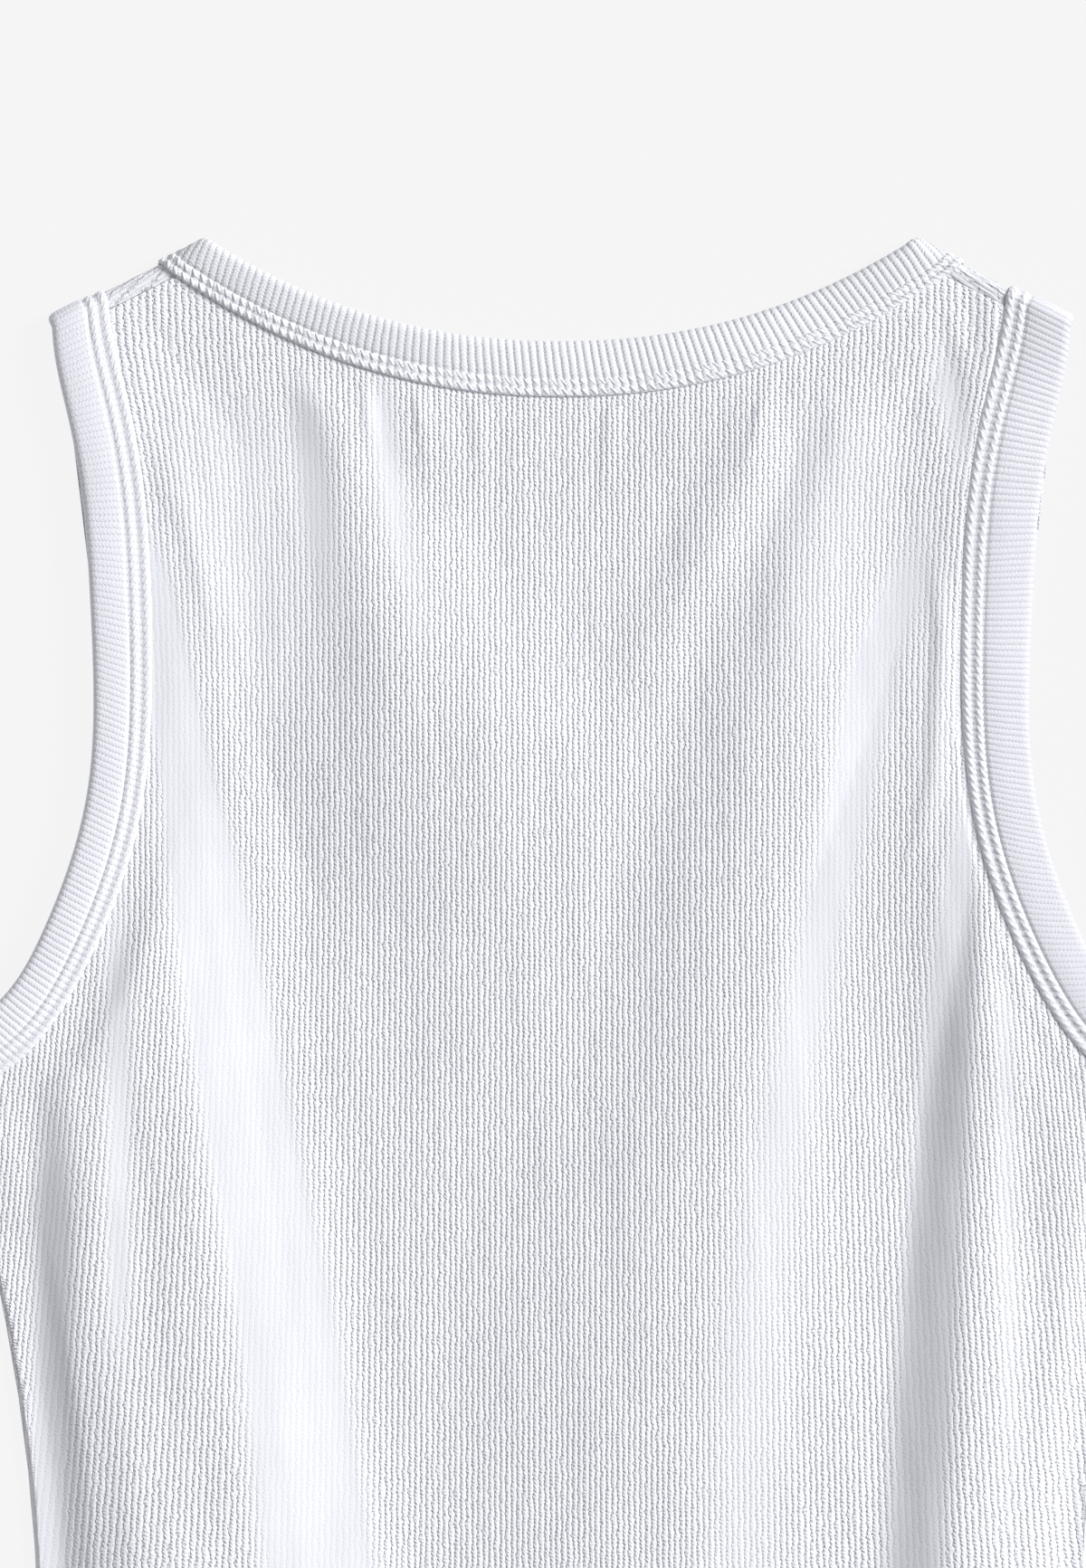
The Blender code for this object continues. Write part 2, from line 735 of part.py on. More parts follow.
def turn_edge(shape, outer, inner, plan, outward, pile, facing, far, walls):
    """Carries a panel's two sides round a fold and closes them where the panel ends.

    outer and inner are the boundary points of the two sides, facing is +1 on the back and -1 on the front,
    and far is None where the panel ends at the middle of the fold, or how far it runs on past the turn.
    """
    walls_out, walls_in = walls
    rows_out, rows_in = [outer], [inner]
    if far is None:
        for rows, away, angles in ((rows_out, walls_out, OUTER_TURN), (rows_in, walls_in, INNER_TURN)):
            widest = np.sqrt(np.maximum(away**2 - (GAP / 2) ** 2, 0)) + LEAST_STEP
            for angle in angles:
                rise = GAP / 2 + (away - GAP / 2) * math.sin(angle)
                reach = widest * math.cos(angle)
                rows.append(shape.add(plan + outward * reach[:, None], pile + facing * rise))
    else:
        for rows, away in ((rows_out, walls_out), (rows_in, walls_in)):
            for angle in TURN:
                reach = away * math.cos(angle)
                rows.append(shape.add(plan + outward * reach[:, None], pile + away * math.sin(angle)))
            rows.append(shape.add(plan, pile + away))
            rows.append(shape.add(plan - outward * far, pile + away))
    shape.grid(rows_out)
    shape.grid(rows_in)
    shape.grid([rows_out[-1], rows_in[-1]])
    for end in (0, -1):
        loop = [row[end] for row in rows_out] + [row[end] for row in rows_in[::-1]]
        shape.faces.append(tuple(loop))


def wall_between(shape, outer, inner, open_spans):
    """Walls along the boundary, but for the stretches where the panel turns round a fold."""
    count = len(outer)
    for i in range(count):
        j = (i + 1) % count
        if not any(first <= i and j <= last and j > i for first, last in open_spans):
            shape.faces.append((outer[i], outer[j], inner[j], inner[i]))


def seam_lines(panel, inset):
    """Plan lines just clear of the bindings' ridges, where a panel comes out from under them."""
    lines = []
    share = NECK_SHARES[panel]
    neck = NECK[panel].line(share, from_ridge=SEAM_CLEAR)
    ends = inset + SEAM_END_CLEAR
    neck = clipped(neck, lambda p: right_shoulder(p, ends), lambda p: left_shoulder(p, ends))
    lines.append(neck)
    for side, mirror in (("right", np.ones(2)), ("left", MIRROR)):
        arm = ARM[side][panel].line(ARM_SHARES, from_ridge=SEAM_CLEAR)
        arm = clipped(arm, lambda p: right_shoulder(p, ends), lambda p: right_side(p, PILE + SEAM_END_CLEAR))
        lines.append(arm * mirror)
    return lines


def fan_x(rib, depth):
    """x of a rib at a depth: straight in the middle, spread up the straps, and a little outwards below the arms."""
    narrow = ARMHOLE[NARROWEST_ROW]
    straight = narrow[0] - FAN_INSET
    table = np.array(ARMHOLE[: NARROWEST_ROW + 1])
    edge = np.interp(depth, table[:, 1], table[:, 0])
    spread = np.where(depth < narrow[1], edge - narrow[0], 0.0)
    spread = spread * np.minimum(np.abs(rib) / straight, FAN_MOST) ** FAN_POWER
    below = np.clip(depth, FLARE_START, FLARE_END) - FLARE_START
    flare = FLARE * below * np.minimum(np.abs(rib) / FLARE_AT, FLARE_MOST) ** FLARE_POWER
    return rib + np.sign(rib) * (spread + flare)


def rib_lines(shoulder_inset):
    """Every line of the ribs, crest or furrow, as (points, rise), wherever the back panel shows."""
    half = PITCH_RIB / 2
    count = int(UNDERARM[0] / half)
    depth = np.arange(0.0, BODY_LENGTH - RIB_TRACE_STEP, RIB_TRACE_STEP)
    pile = THIN_PILE + 2 * LAYER * side_pile(np.maximum(depth, UNDERARM[1]))
    armhole = np.array(ARMHOLE)
    width = np.where(
        depth < UNDERARM[1], np.interp(depth, armhole[:, 1], armhole[:, 0]), side_x(depth) - pile
    )
    row = np.arange(ROWS)
    rows = FIRST_ROW + row * (ROW_STEP + ROW_GROWTH * row)
    found = []
    for k in range(-count, count + 1):
        x = fan_x(k * half, depth)
        points = np.column_stack([x, depth])
        arm = "right" if k >= 0 else "left"
        folded = points if k >= 0 else points * MIRROR
        shown = distance_to(points, NECK["back"].curve) > NECK_BINDING + RIB_CLEAR
        shown &= distance_to(folded, ARM[arm]["back"].curve) > ARMHOLE_BINDINGS[arm] + RIB_CLEAR
        shown &= right_shoulder(folded, shoulder_inset + RIB_CLEAR) > 0
        shown &= depth > BACK_NECK_DROP * (1 - np.abs(x / NECK_HALF_WIDTH) ** BACK_NECK_POWER)
        shown &= (depth > FIRST_RIB_DEPTH) & (np.abs(x) < width - RIB_CLEAR)
        edges = np.flatnonzero(np.diff(np.concatenate([[0], shown.astype(int), [0]])))
        for first, last in zip(edges[::2], edges[1::2] - 1):
            top, bottom = depth[first], depth[last]
            if bottom - top < SHORTEST_RIB:
                continue
            between = rows[(rows > top + RIB_ROW_CLEAR) & (rows < bottom - RIB_ROW_CLEAR)]
            at = np.concatenate([[top], between, [bottom]])
            line = np.column_stack([fan_x(k * half, at), at])
            found.append((line, np.full(len(at), 0.0 if k % 2 else RIB_RISE), k))
    return found


def back_panel():
    """The back, ribbed outside and plain inside, from the shoulder seams down to the hem."""
    inset = PILE + SHOULDER_SEAM + GAP
    loop, spans, stretches = panel_boundary("back", inset)
    seams = seam_lines("back", inset)
    ribs = rib_lines(inset)
    shape = Shape()
    lines = seams + [line for line, _, _ in ribs]
    rises = [np.zeros(len(line)) for line in seams] + [rise for _, rise, _ in ribs]
    outer = shape.surface(loop, lines, back_outside, rises)
    coarse = [line for line, _, k in ribs if k % (2 * COARSE_RIBS) == 0]
    inner = shape.surface(loop, seams + coarse, back_height)
    finish_sides(shape, outer, inner, spans, stretches, +1)
    return shape.build("back_panel")


def finish_sides(shape, outer, inner, spans, stretches, facing):
    open_spans = []
    for side, mirror in (("right", 1.0), ("left", -1.0)):
        first, last = spans["side_" + side]
        run = stretches["side"][side]
        if side == "left":
            run = run[::-1]
        plan = run[:, :2] * (mirror, 1)
        outward = run[:, 2:4] * (mirror, 1)
        pile = run[:, 4]
        bound = (pile - THIN_PILE) / (2 * LAYER)
        walls = (THIN_PILE + LAYER * bound, GAP / 2 + LAYER * bound)
        for row, away in ((outer, walls[0]), (inner, walls[1])):
            for k, i in enumerate(row[first:last]):
                shape.points[i][2] = pile[k] + facing * away[k]
        turn_edge(shape, outer[first:last], inner[first:last], plan, outward, pile, facing, None, walls)
        open_spans.append((first, last - 1))
        if facing < 0:
            first = spans["neck_right"][1] - 1 if side == "right" else spans["arm_left"][1] - 1
            last = spans["arm_right"][0] + 1 if side == "right" else spans["neck_left"][0] + 1
            plan = np.array([shape.points[i][:2] for i in outer[first:last]])
            outward = np.tile(SHOULDER_OUT * (mirror, 1), (len(plan), 1))
            pile = np.full(len(plan), PILE)
            walls = (np.full(len(plan), PANEL[1]), np.full(len(plan), PANEL[0]))
            turn_edge(shape, outer[first:last], inner[first:last], plan, outward, pile, facing, SHOULDER_SEAM, walls)
            open_spans.append((first, last - 1))
    wall_between(shape, outer, inner, open_spans)


def front_panel():
    """The front, lying on the surface, up round the shoulder folds to the seams on the back."""
    loop, spans, stretches = panel_boundary("front", PILE)
    lines = seam_lines("front", PILE)
    for reach in FRONT_LINES:
        for strip, shares, mirror in (
            (NECK["front"], NECK_SHARES["front"][3:-3], np.ones(2)),
            (ARM["right"]["front"], ARM_SHARES[4:-1], np.ones(2)),
            (ARM["left"]["front"], ARM_SHARES[4:-1], MIRROR),
        ):
            line = strip.line(shares[::2], from_ridge=reach) * mirror
            free = edge_distance(line, "front") > PRESSED_FLAT + reach - FRONT_LINE_CLEAR
            free &= from_side(line) > FRONT_LINE_FROM_SIDE
            if free.sum() > 1:
                lines.append(line[free])
    shape = Shape()
    outer = shape.surface(loop, lines, front_height)
    inner = shape.surface(loop, lines, lambda plan: front_height(plan) + WALL)
    finish_sides(shape, outer, inner, spans, stretches, -1)
    return shape.build("front_panel")


# ---------------------------------------------------------------- the garment


def clear_scene():
    for piece in list(bpy.data.objects):
        bpy.data.objects.remove(piece, do_unlink=True)


def build():
    clear_scene()
    front_panel()
    back_panel()
    binding("neck_binding", NECK["back"], NECK["front"], NECK_SHARES, SHOULDER_OUT * MIRROR, SHOULDER_OUT, NECK_RIB)
    shares = {"back": ARM_SHARES, "front": ARM_SHARES}
    for side in ARMHOLE_BINDINGS:
        binding(
            "armhole_binding_" + side,
            ARM[side]["back"],
            ARM[side]["front"],
            shares,
            SHOULDER_OUT,
            SIDE_OUT,
            ARMHOLE_RIB,
            mirror=side == "left",
        )


build()
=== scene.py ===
# %% [markdown]
# # A ribbed tank top, laid flat with its back up
#
# The garment is knitted in white 1x1 rib. A maker cuts five pieces: a back, a front, and three strips of
# rib that are folded round the raw edges of the neck and of each armhole and fixed with two rows of
# coverstitch. It lies on its front, so the front neck, which is cut far lower, is hidden under the back.
#
# The CAD model already has the garment's outline, its layers and its largest folds, with every layer a
# plain wall. This script loads that model as a fixed frame and puts the finished cloth in its place: real
# rib cords and furrows, the rounded and stitched bindings, the small creases, the hem and the threads.
# Each of the five cut pieces replaces its CAD solid, and the threads are pieces of their own.

# %% Load the frame
import math

import bpy
import numpy as np
from mathutils.geometry import delaunay_2d_cdt
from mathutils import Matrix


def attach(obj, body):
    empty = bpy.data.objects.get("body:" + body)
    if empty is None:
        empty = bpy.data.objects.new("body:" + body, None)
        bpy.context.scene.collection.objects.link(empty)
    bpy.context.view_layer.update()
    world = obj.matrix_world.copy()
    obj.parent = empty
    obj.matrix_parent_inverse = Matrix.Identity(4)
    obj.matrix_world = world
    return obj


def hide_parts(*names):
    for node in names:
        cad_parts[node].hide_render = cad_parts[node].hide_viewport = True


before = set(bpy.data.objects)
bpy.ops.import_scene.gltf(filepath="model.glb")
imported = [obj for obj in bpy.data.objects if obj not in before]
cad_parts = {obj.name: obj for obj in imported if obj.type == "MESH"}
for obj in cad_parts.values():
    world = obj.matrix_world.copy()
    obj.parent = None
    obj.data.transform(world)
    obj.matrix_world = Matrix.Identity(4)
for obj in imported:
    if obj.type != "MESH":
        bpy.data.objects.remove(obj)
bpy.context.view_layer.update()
MM = 0.001

# %% [markdown]
# ## Camera, surface and light
#
# The garment is seen from straight above, close enough that the hem is out of view. A long lens far away
# keeps the plan true: with a near, wide one the raised cloth would lean outwards.
#
# Ribs and soft folds are only visible by the way they turn to the light, so one low lamp from the right
# does the drawing, as a window would, and an even pale sky fills its shadows. The lamp has a broad disc, so
# that folds shade softly. The surface glows faintly, which keeps it an even pale grey round the cloth.

# %% Camera
VIEW_HEIGHT = 0.43325
VIEW_MIDDLE = (-0.005, 0.109)
CAMERA_HEIGHT = 2.4
SENSOR = 36.0

def add_object(name, data):
    """A new object in the scene, at the origin."""
    made = bpy.data.objects.new(name, data)
    bpy.context.scene.collection.objects.link(made)
    return made


lens = bpy.data.cameras.new("camera")
lens.sensor_width = SENSOR
lens.lens = SENSOR * CAMERA_HEIGHT / VIEW_HEIGHT
camera = add_object("camera", lens)
camera.location = (*VIEW_MIDDLE, CAMERA_HEIGHT)
bpy.context.scene.camera = camera
print("lens", round(lens.lens), "mm from", CAMERA_HEIGHT, "m")

# %% Light
KEY_STRENGTH = 3.82
KEY_FROM = (1.0, 0.35, 0.66)
KEY_DISC = math.radians(22)
SKY_COLOUR = (0.97, 0.98, 1.0, 1)
SKY_STRENGTH = 0.39

key = bpy.data.lights.new("window", "SUN")
key.energy = KEY_STRENGTH
key.angle = KEY_DISC
east, north, up = KEY_FROM
tilt = math.acos(up / math.hypot(east, north, up))
add_object("window", key).rotation_euler = (tilt, 0, math.atan2(north, east) + math.pi / 2)

sky = bpy.data.worlds.new("sky")
sky.use_nodes = True
background = sky.node_tree.nodes["Background"].inputs
background["Color"].default_value = SKY_COLOUR
background["Strength"].default_value = SKY_STRENGTH
bpy.context.scene.world = sky
bpy.context.scene.view_settings.view_transform = "Standard"
print("key light", round(math.degrees(math.pi / 2 - tilt)), "degrees above the surface")

# %% Surface
FLOOR_SIDE = 8.0
FLOOR_BELOW = 0.0004
FLOOR_GLOW = (0.884, 0.884, 0.884, 1)
FLOOR_COLOUR = (0.03, 0.03, 0.03, 1)

half = FLOOR_SIDE / 2
corners = [(x * half, y * half, -FLOOR_BELOW) for x, y in ((-1, -1), (1, -1), (1, 1), (-1, 1))]
floor_mesh = bpy.data.meshes.new("floor")
floor_mesh.from_pydata(corners, [], [(0, 1, 2, 3)])
surface = bpy.data.materials.new("surface")
surface.use_nodes = True
matt = surface.node_tree.nodes["Principled BSDF"].inputs
matt["Base Color"].default_value = FLOOR_COLOUR
matt["Roughness"].default_value = 1.0
matt["Specular IOR Level"].default_value = 0.0
matt["Emission Color"].default_value = FLOOR_GLOW
matt["Emission Strength"].default_value = 1.0
floor_mesh.materials.append(surface)
floor = add_object("floor", floor_mesh)

# %% [markdown]
# ## The plan
#
# All shapes start in the plan, in millimetres: x runs to the right as seen from above, and depth runs down
# from the neck points at the top of the shoulders to the hem. The neck is a power curve, the armhole and
# the side are smooth curves through a few measured points. The shoulder is not a cut edge in this view: it
# is a fold, where everything turns under onto the front, and so is the side.

# %% Sizes of the body
BODY_LENGTH = 520.0
MIDDLE_DEPTH = 259.6
NECK_HALF_WIDTH = 98.0
NECK_DROP = {"back": 28.5, "front": 130.0}
NECK_POWER = {"back": 2.19, "front": 3.4}
ARMHOLE_SCOOP = {"back": 0.0, "front": 6.0}
NECK_POINT = np.array([99.0, 0.0])
SHOULDER_TIP = np.array([140.5, 20.75])

# Outer edge of the back armhole, from the shoulder tip to the underarm: (x, depth)
ARMHOLE = np.array(
    [(140.5, 21), (139.9, 30), (135.8, 50), (132.2, 70), (129.8, 100), (128.9, 125)]
    + [(130.2, 150), (134.7, 170), (142.3, 190), (154.5, 210), (170, 221)]
)
# Side edge, from the underarm to the hem: (x, depth)
SIDE = np.array(
    [(170, 221), (162.4, 256), (155, 291), (148.4, 330), (145, 367)]
    + [(144.2, 390), (146, 430), (150.5, 480), (154.5, 520)]
)
UNDERARM = ARMHOLE[-1]
NARROWEST = ARMHOLE[5]
MIRROR = np.array([-1.0, 1.0])

# %% Sizes of the cloth and its layers
WALL = 1.0
GAP = 0.3
LAYER = WALL + GAP
PITCH = 1.53
COURSE = 1.1
SHOULDER_SEAM = 2.5
HEM = 20.0

BINDING = {"neck": 15.3, "left": 17.2, "right": 19.8}
BINDING_PITCH = {"neck": 2.1, "left": 1.7, "right": 1.7}
# How far a binding's cords stand out, at shares of its way over the back
BINDING_RISE = {
    "neck": ((0.0, 0.12), (0.25, 0.16), (0.45, 0.24), (1.0, 0.22)),
    "left": ((0.0, 0.05), (0.45, 0.06), (0.7, 0.10), (1.0, 0.17)),
    "right": ((0.0, 0.18), (0.45, 0.2), (0.7, 0.09), (1.0, 0.06)),
}
# Distances of the two rows of stitches out from the strip's inner edge, and of the sunk line beside each
STITCH_ROWS = {"neck": (3.9, 1.2), "left": (4.9, 1.4), "right": (4.8, 1.4)}
GROOVES = {"neck": (5.0, 2.4), "left": (6.3, 3.1), "right": (6.2, 3.1)}
EDGE_DROP = {"neck": 0.05, "left": 0.42, "right": 0.42}
PANEL_EDGE = WALL + 2 * GAP

# Distances of the layers from the middle of a fold, where two bindings and two panels lie on each other
INNER_LEAF = (GAP / 2, GAP / 2 + WALL)
PANEL = (INNER_LEAF[1] + GAP, INNER_LEAF[1] + GAP + WALL)
OUTER_LEAF = (PANEL[1] + GAP, PANEL[1] + GAP + WALL)
PILE = OUTER_LEAF[1]
THIN_PILE = INNER_LEAF[1]

# %% Curves


def smooth(t):
    """0 below 0, 1 above 1, and the S curve 3t^2 - 2t^3 between them."""
    t = np.clip(t, 0.0, 1.0)
    return t * t * (3.0 - 2.0 * t)


def spline(at, values, where):
    """A natural cubic through values at the increasing positions at, and straight past its ends."""
    gap = np.diff(at)
    slope = np.diff(values) / gap
    n = len(at)
    inner = np.arange(1, n - 1)
    system, right = np.eye(n), np.zeros(n)
    system[inner, inner - 1] = gap[:-1]
    system[inner, inner] = 2 * (gap[:-1] + gap[1:])
    system[inner, inner + 1] = gap[1:]
    right[inner] = 6 * np.diff(slope)
    bend = np.linalg.solve(system, right)
    inside = np.clip(where, at[0], at[-1])
    i = np.clip(np.searchsorted(at, inside) - 1, 0, n - 2)
    a, b = (at[i + 1] - inside) / gap[i], (inside - at[i]) / gap[i]
    curve = a * values[i] + b * values[i + 1]
    curve += ((a**3 - a) * bend[i] + (b**3 - b) * bend[i + 1]) * gap[i] ** 2 / 6
    start = slope[0] - gap[0] * bend[1] / 6
    end = slope[-1] + gap[-1] * bend[-2] / 6
    return curve + start * np.minimum(where - at[0], 0) + end * np.maximum(where - at[-1], 0)


def along(points):
    """Distance along a polyline at each of its points."""
    return np.append(0.0, np.cumsum(np.linalg.norm(np.diff(points, axis=0), axis=1)))


def read_curve(points, share):
    """Points at the given shares, 0 to 1, of a polyline's length."""
    length = along(points)
    at = np.asarray(share) * length[-1]
    return np.column_stack([np.interp(at, length, points[:, k]) for k in (0, 1)])


def normalised(vectors):
    """Each row divided by its length."""
    return vectors / np.linalg.norm(vectors, axis=1)[:, None]


def normals_right(points):
    """Unit vectors square to a polyline, on its right when x runs right and depth runs down."""
    run = normalised(np.gradient(points, axis=0))
    return np.column_stack([-run[:, 1], run[:, 0]])


def distance_to(points, curve, portion=20000):
    """Shortest distance from each point to a polyline, taken a portion of the points at a time."""
    start, run = curve[:-1], np.diff(curve, axis=0)
    found = []
    for first in range(0, len(points), portion):
        offset = points[first : first + portion, None, :] - start[None]
        share = np.clip((offset * run).sum(2) / (run**2).sum(1), 0, 1)
        found.append(((offset - share[..., None] * run) ** 2).sum(2).min(1))
    return np.sqrt(np.concatenate(found))


# %% Outlines
CURVE_POINTS = 140
RUN_ON = 16.0
PAST_FOLD = 0.35


def neck_depth(x, panel):
    """drop * (1 - |x / half width| ^ power): flat at the middle and steep at the neck points."""
    return NECK_DROP[panel] * (1 - np.abs(x / NECK_HALF_WIDTH) ** NECK_POWER[panel])


def neck_curve(panel):
    """Outer edge of the neck binding, from left to right, run on a little past the shoulder folds."""
    x = (NECK_HALF_WIDTH + RUN_ON) * np.sin(np.linspace(-1, 1, CURVE_POINTS) * math.pi / 2)
    depth = neck_depth(x, panel)
    keep = depth > -PAST_FOLD * NECK_DROP[panel]
    return np.column_stack([x, depth])[keep]


def armhole_curve(panel):
    """Outer edge of the right armhole, from past the shoulder fold to past the side."""
    length = along(ARMHOLE)
    where = np.linspace(-RUN_ON, length[-1] + RUN_ON, CURVE_POINTS)
    points = np.column_stack([spline(length, ARMHOLE[:, k], where) for k in (0, 1)])
    down = (points[:, 1] - SHOULDER_TIP[1]) / (UNDERARM[1] - SHOULDER_TIP[1])
    points[:, 0] -= ARMHOLE_SCOOP[panel] * np.sin(math.pi * np.clip(down, 0, 1)) ** 2
    return points


def side_x(depth):
    """Half width of the body at a depth under the arms."""
    return spline(SIDE[:, 1], SIDE[:, 0], depth)


NECK_EDGE = {panel: neck_curve(panel) for panel in NECK_DROP}
ARM_EDGE = {panel: armhole_curve(panel) for panel in NECK_DROP}
print("neck points", 2 * NECK_HALF_WIDTH, "mm apart, chest", 2 * UNDERARM[0], "mm, length", BODY_LENGTH, "mm")

# %% [markdown]
# ### Folds of the plan, and the strips between them
#
# A binding is one ring: over the back, round the shoulder, back along the front and round the other fold.
# For each half a strip is cut out of the plan between its two folds, as two lines: the binding's folded
# outer edge, and its inner edge, which the coverstitch holds down on the panel.

# %% Folds and strips


def unit(vector):
    """A vector divided by its length."""
    return vector / np.linalg.norm(vector)


SHOULDER_RUN = unit(SHOULDER_TIP - NECK_POINT)
SHOULDER_OUT = np.array([SHOULDER_RUN[1], -SHOULDER_RUN[0]])
SIDE_CHORD_END = 245.0
SIDE_RUN = unit(np.array([side_x(SIDE_CHORD_END) - UNDERARM[0], SIDE_CHORD_END - UNDERARM[1]]))
SIDE_OUT = np.array([SIDE_RUN[1], -SIDE_RUN[0]])


def inside_fold(points, on_fold, outward, inset):
    """How far points lie inside the line that runs inset from a fold."""
    return -((points - on_fold) @ outward) - inset


def on_right(points):
    """Points of the left half moved onto the right one, as the plan is the same on both sides."""
    return np.column_stack([np.abs(points[:, 0]), points[:, 1]])


def inside_shoulder(points, inset=PILE):
    """How far points lie inside both shoulder folds, told from the nearer one."""
    return inside_fold(on_right(points), NECK_POINT, SHOULDER_OUT, inset)


def inside_side(points, inset=PILE):
    """How far points lie inside the right side's fold, taken as a straight line below the underarm."""
    return inside_fold(points, UNDERARM, SIDE_OUT, inset)


def clipped(points, *insides):
    """The stretch of a polyline where every function in insides is positive, ending exactly where it is 0."""
    for inside in insides:
        value = inside(points)
        kept = np.flatnonzero(value > 0)
        first, last = kept[0], kept[-1]
        stretch = [points[first : last + 1]]
        if first > 0:
            t = value[first] / (value[first] - value[first - 1])
            stretch.insert(0, (points[first] + t * (points[first - 1] - points[first]))[None])
        if last < len(points) - 1:
            t = value[last] / (value[last] - value[last + 1])
            stretch.append((points[last] + t * (points[last + 1] - points[last]))[None])
        points = np.vstack(stretch)
    return points


class Strip:
    """One half of a binding, on one panel: its outer edge and its inner edge, both cut at the folds."""

    def __init__(self, curve, width, *folds):
        self.outer = clipped(curve, *folds)
        self.inner = clipped(curve + normals_right(curve) * width, *folds)
        self.length = along(self.outer)[-1]

    def read(self, share):
        """Points of the outer and of the inner edge, at shares of their lengths."""
        return read_curve(self.outer, share), read_curve(self.inner, share)

    def line(self, share, reach):
        """Points a fixed distance in from the outer edge."""
        outer, inner = self.read(share)
        return outer + normalised(inner - outer) * reach


STRIPS = {"neck": {panel: Strip(NECK_EDGE[panel], BINDING["neck"], inside_shoulder) for panel in NECK_DROP}}
for side in ("left", "right"):
    STRIPS[side] = {
        panel: Strip(ARM_EDGE[panel], BINDING[side], inside_shoulder, inside_side) for panel in NECK_DROP
    }
for name, halves in STRIPS.items():
    print(name, "binding:", {panel: round(strip.length) for panel, strip in halves.items()}, "mm")

# %% [markdown]
# ## Heights: how the layers lie on each other
#
# Every layer is a height over the plan. Under a binding four thicknesses lie on each other on each side, so
# the cloth stands highest there and settles towards the middle. Over the deep front neck nothing holds the
# back up and it sags. On top of that come the folds: each is a ridge that runs down the garment, with its
# own left and right flank, and a raised cosine for its section, (1 + cos) / 2. A short table says how each
# one wanders, grows and widens. The creases are small folds of the same form, which only show by their shade.
#
# On the flank of a fold the cloth is drawn tight, and its ribs open and lie almost flat. A third table of
# the same form says how smooth the cloth is drawn there, from 0 to nearly 1.

# %% How the layers settle
BINDING_REACH = 20.0
SETTLE = 30.0
FRONT_REACH = 28.0
FRONT_SETTLE = 42.0
NECK_SAG = 1.2
SAG_START = 34.0
SAG_LENGTH = 50.0
FOLD_CLEAR_OF_BINDING = 10.0
FOLD_CLEAR_OF_SIDE = 8.0

# %% Folds of the back
# Each row: depth, x of the crest, height, width of its left and of its right flank
FOLDS = {
    "right_side": (
        (162, 120, 0, 6, 8), (186, 118.5, 1, 8, 8), (209, 115.5, 2, 10, 14), (234, 114.5, 3.4, 15, 28),
        (262, 114.5, 4.7, 20, 36), (309, 114, 5.5, 25, 38), (367, 111, 5.6, 27, 40), (440, 108, 5, 28, 40),
        (520, 105, 3.6, 28, 40),
    ),
    "right_outer": (
        (225, 139, 0, 12, 12), (245, 139, 1.1, 12, 12), (265, 141, 1.5, 15, 12), (310, 143, 1.7, 16, 10),
        (367, 143, 1.8, 16, 10), (440, 144, 1.2, 16, 12), (520, 146, 0.6, 16, 12),
    ),
    "right_armhole": (
        (60, 104, 0, 14, 14), (100, 104, 0.7, 14, 16), (150, 104, 0.7, 14, 14), (190, 108, 0, 14, 14),
    ),
    "left_edge": (
        (224, -136, 0, 14, 16), (240, -134.5, 2.3, 12, 18), (264, -132.5, 3.7, 16, 20),
        (289, -132, 4.1, 18, 22), (315, -130.5, 4.2, 21, 24), (340, -127, 4.4, 23, 28),
        (367, -122, 4.8, 26, 32), (440, -118, 4.6, 24, 32), (520, -122, 3.6, 24, 32),
    ),
    "left_hollow": (
        (80, -84, 0, 18, 22), (115, -82, -0.3, 20, 24), (150, -80, -0.35, 22, 28), (185, -74, 0, 24, 30),
    ),
    "left": (
        (150, -112, 0, 20, 30), (190, -109, 1.6, 30, 38), (230, -107, 4.4, 40, 46),
        (270, -104, 5.5, 44, 50), (310, -99, 6, 44, 54), (367, -92, 6.4, 40, 62), (440, -90, 5.5, 38, 62),
        (520, -88, 4, 36, 60),
    ),
    "middle": (
        (70, 66, 0, 26, 36), (110, 66, 2.4, 30, 38), (150, 59, 4, 36, 48), (190, 52, 4.8, 42, 50),
        (240, 46, 5, 54, 54), (300, 41, 4.8, 84, 54), (367, 26, 3.2, 62, 62), (440, 26, 2, 60, 54),
        (520, 26, 1.5, 60, 54),
    ),
    "centre": (
        (120, -10, 0, 40, 50), (150, -8, 0.5, 50, 60), (190, -8, 1.6, 50, 60), (235, -6, 1.2, 50, 56),
        (275, -6, 0, 50, 56),
    ),
    "neck_left": (
        (26, -70, 0, 9, 14), (40, -68, 1, 10, 22), (61, -60, 1.5, 14, 16), (86, -53, 2.6, 24, 38),
        (112, -45, 3.7, 30, 56), (137, -37, 3.9, 44, 74), (162, -32, 2, 46, 66), (190, -28, 0.7, 46, 46),
        (215, -26, 0.4, 44, 44), (250, -24, 0, 44, 44),
    ),
    "neck_right": (
        (36, 77, 0, 10, 18), (55, 77, 1.3, 12, 22), (80, 70, 1.5, 14, 24), (110, 63, 0.8, 16, 22),
        (140, 58, 0, 16, 20),
    ),
    "neck_middle": (
        (42, 57, 0, 13, 13), (62, 51, 1.5, 15, 14), (86, 40, 1.8, 16, 15), (112, 28, 1.3, 18, 16),
        (140, 20, 0, 18, 16),
    ),
}

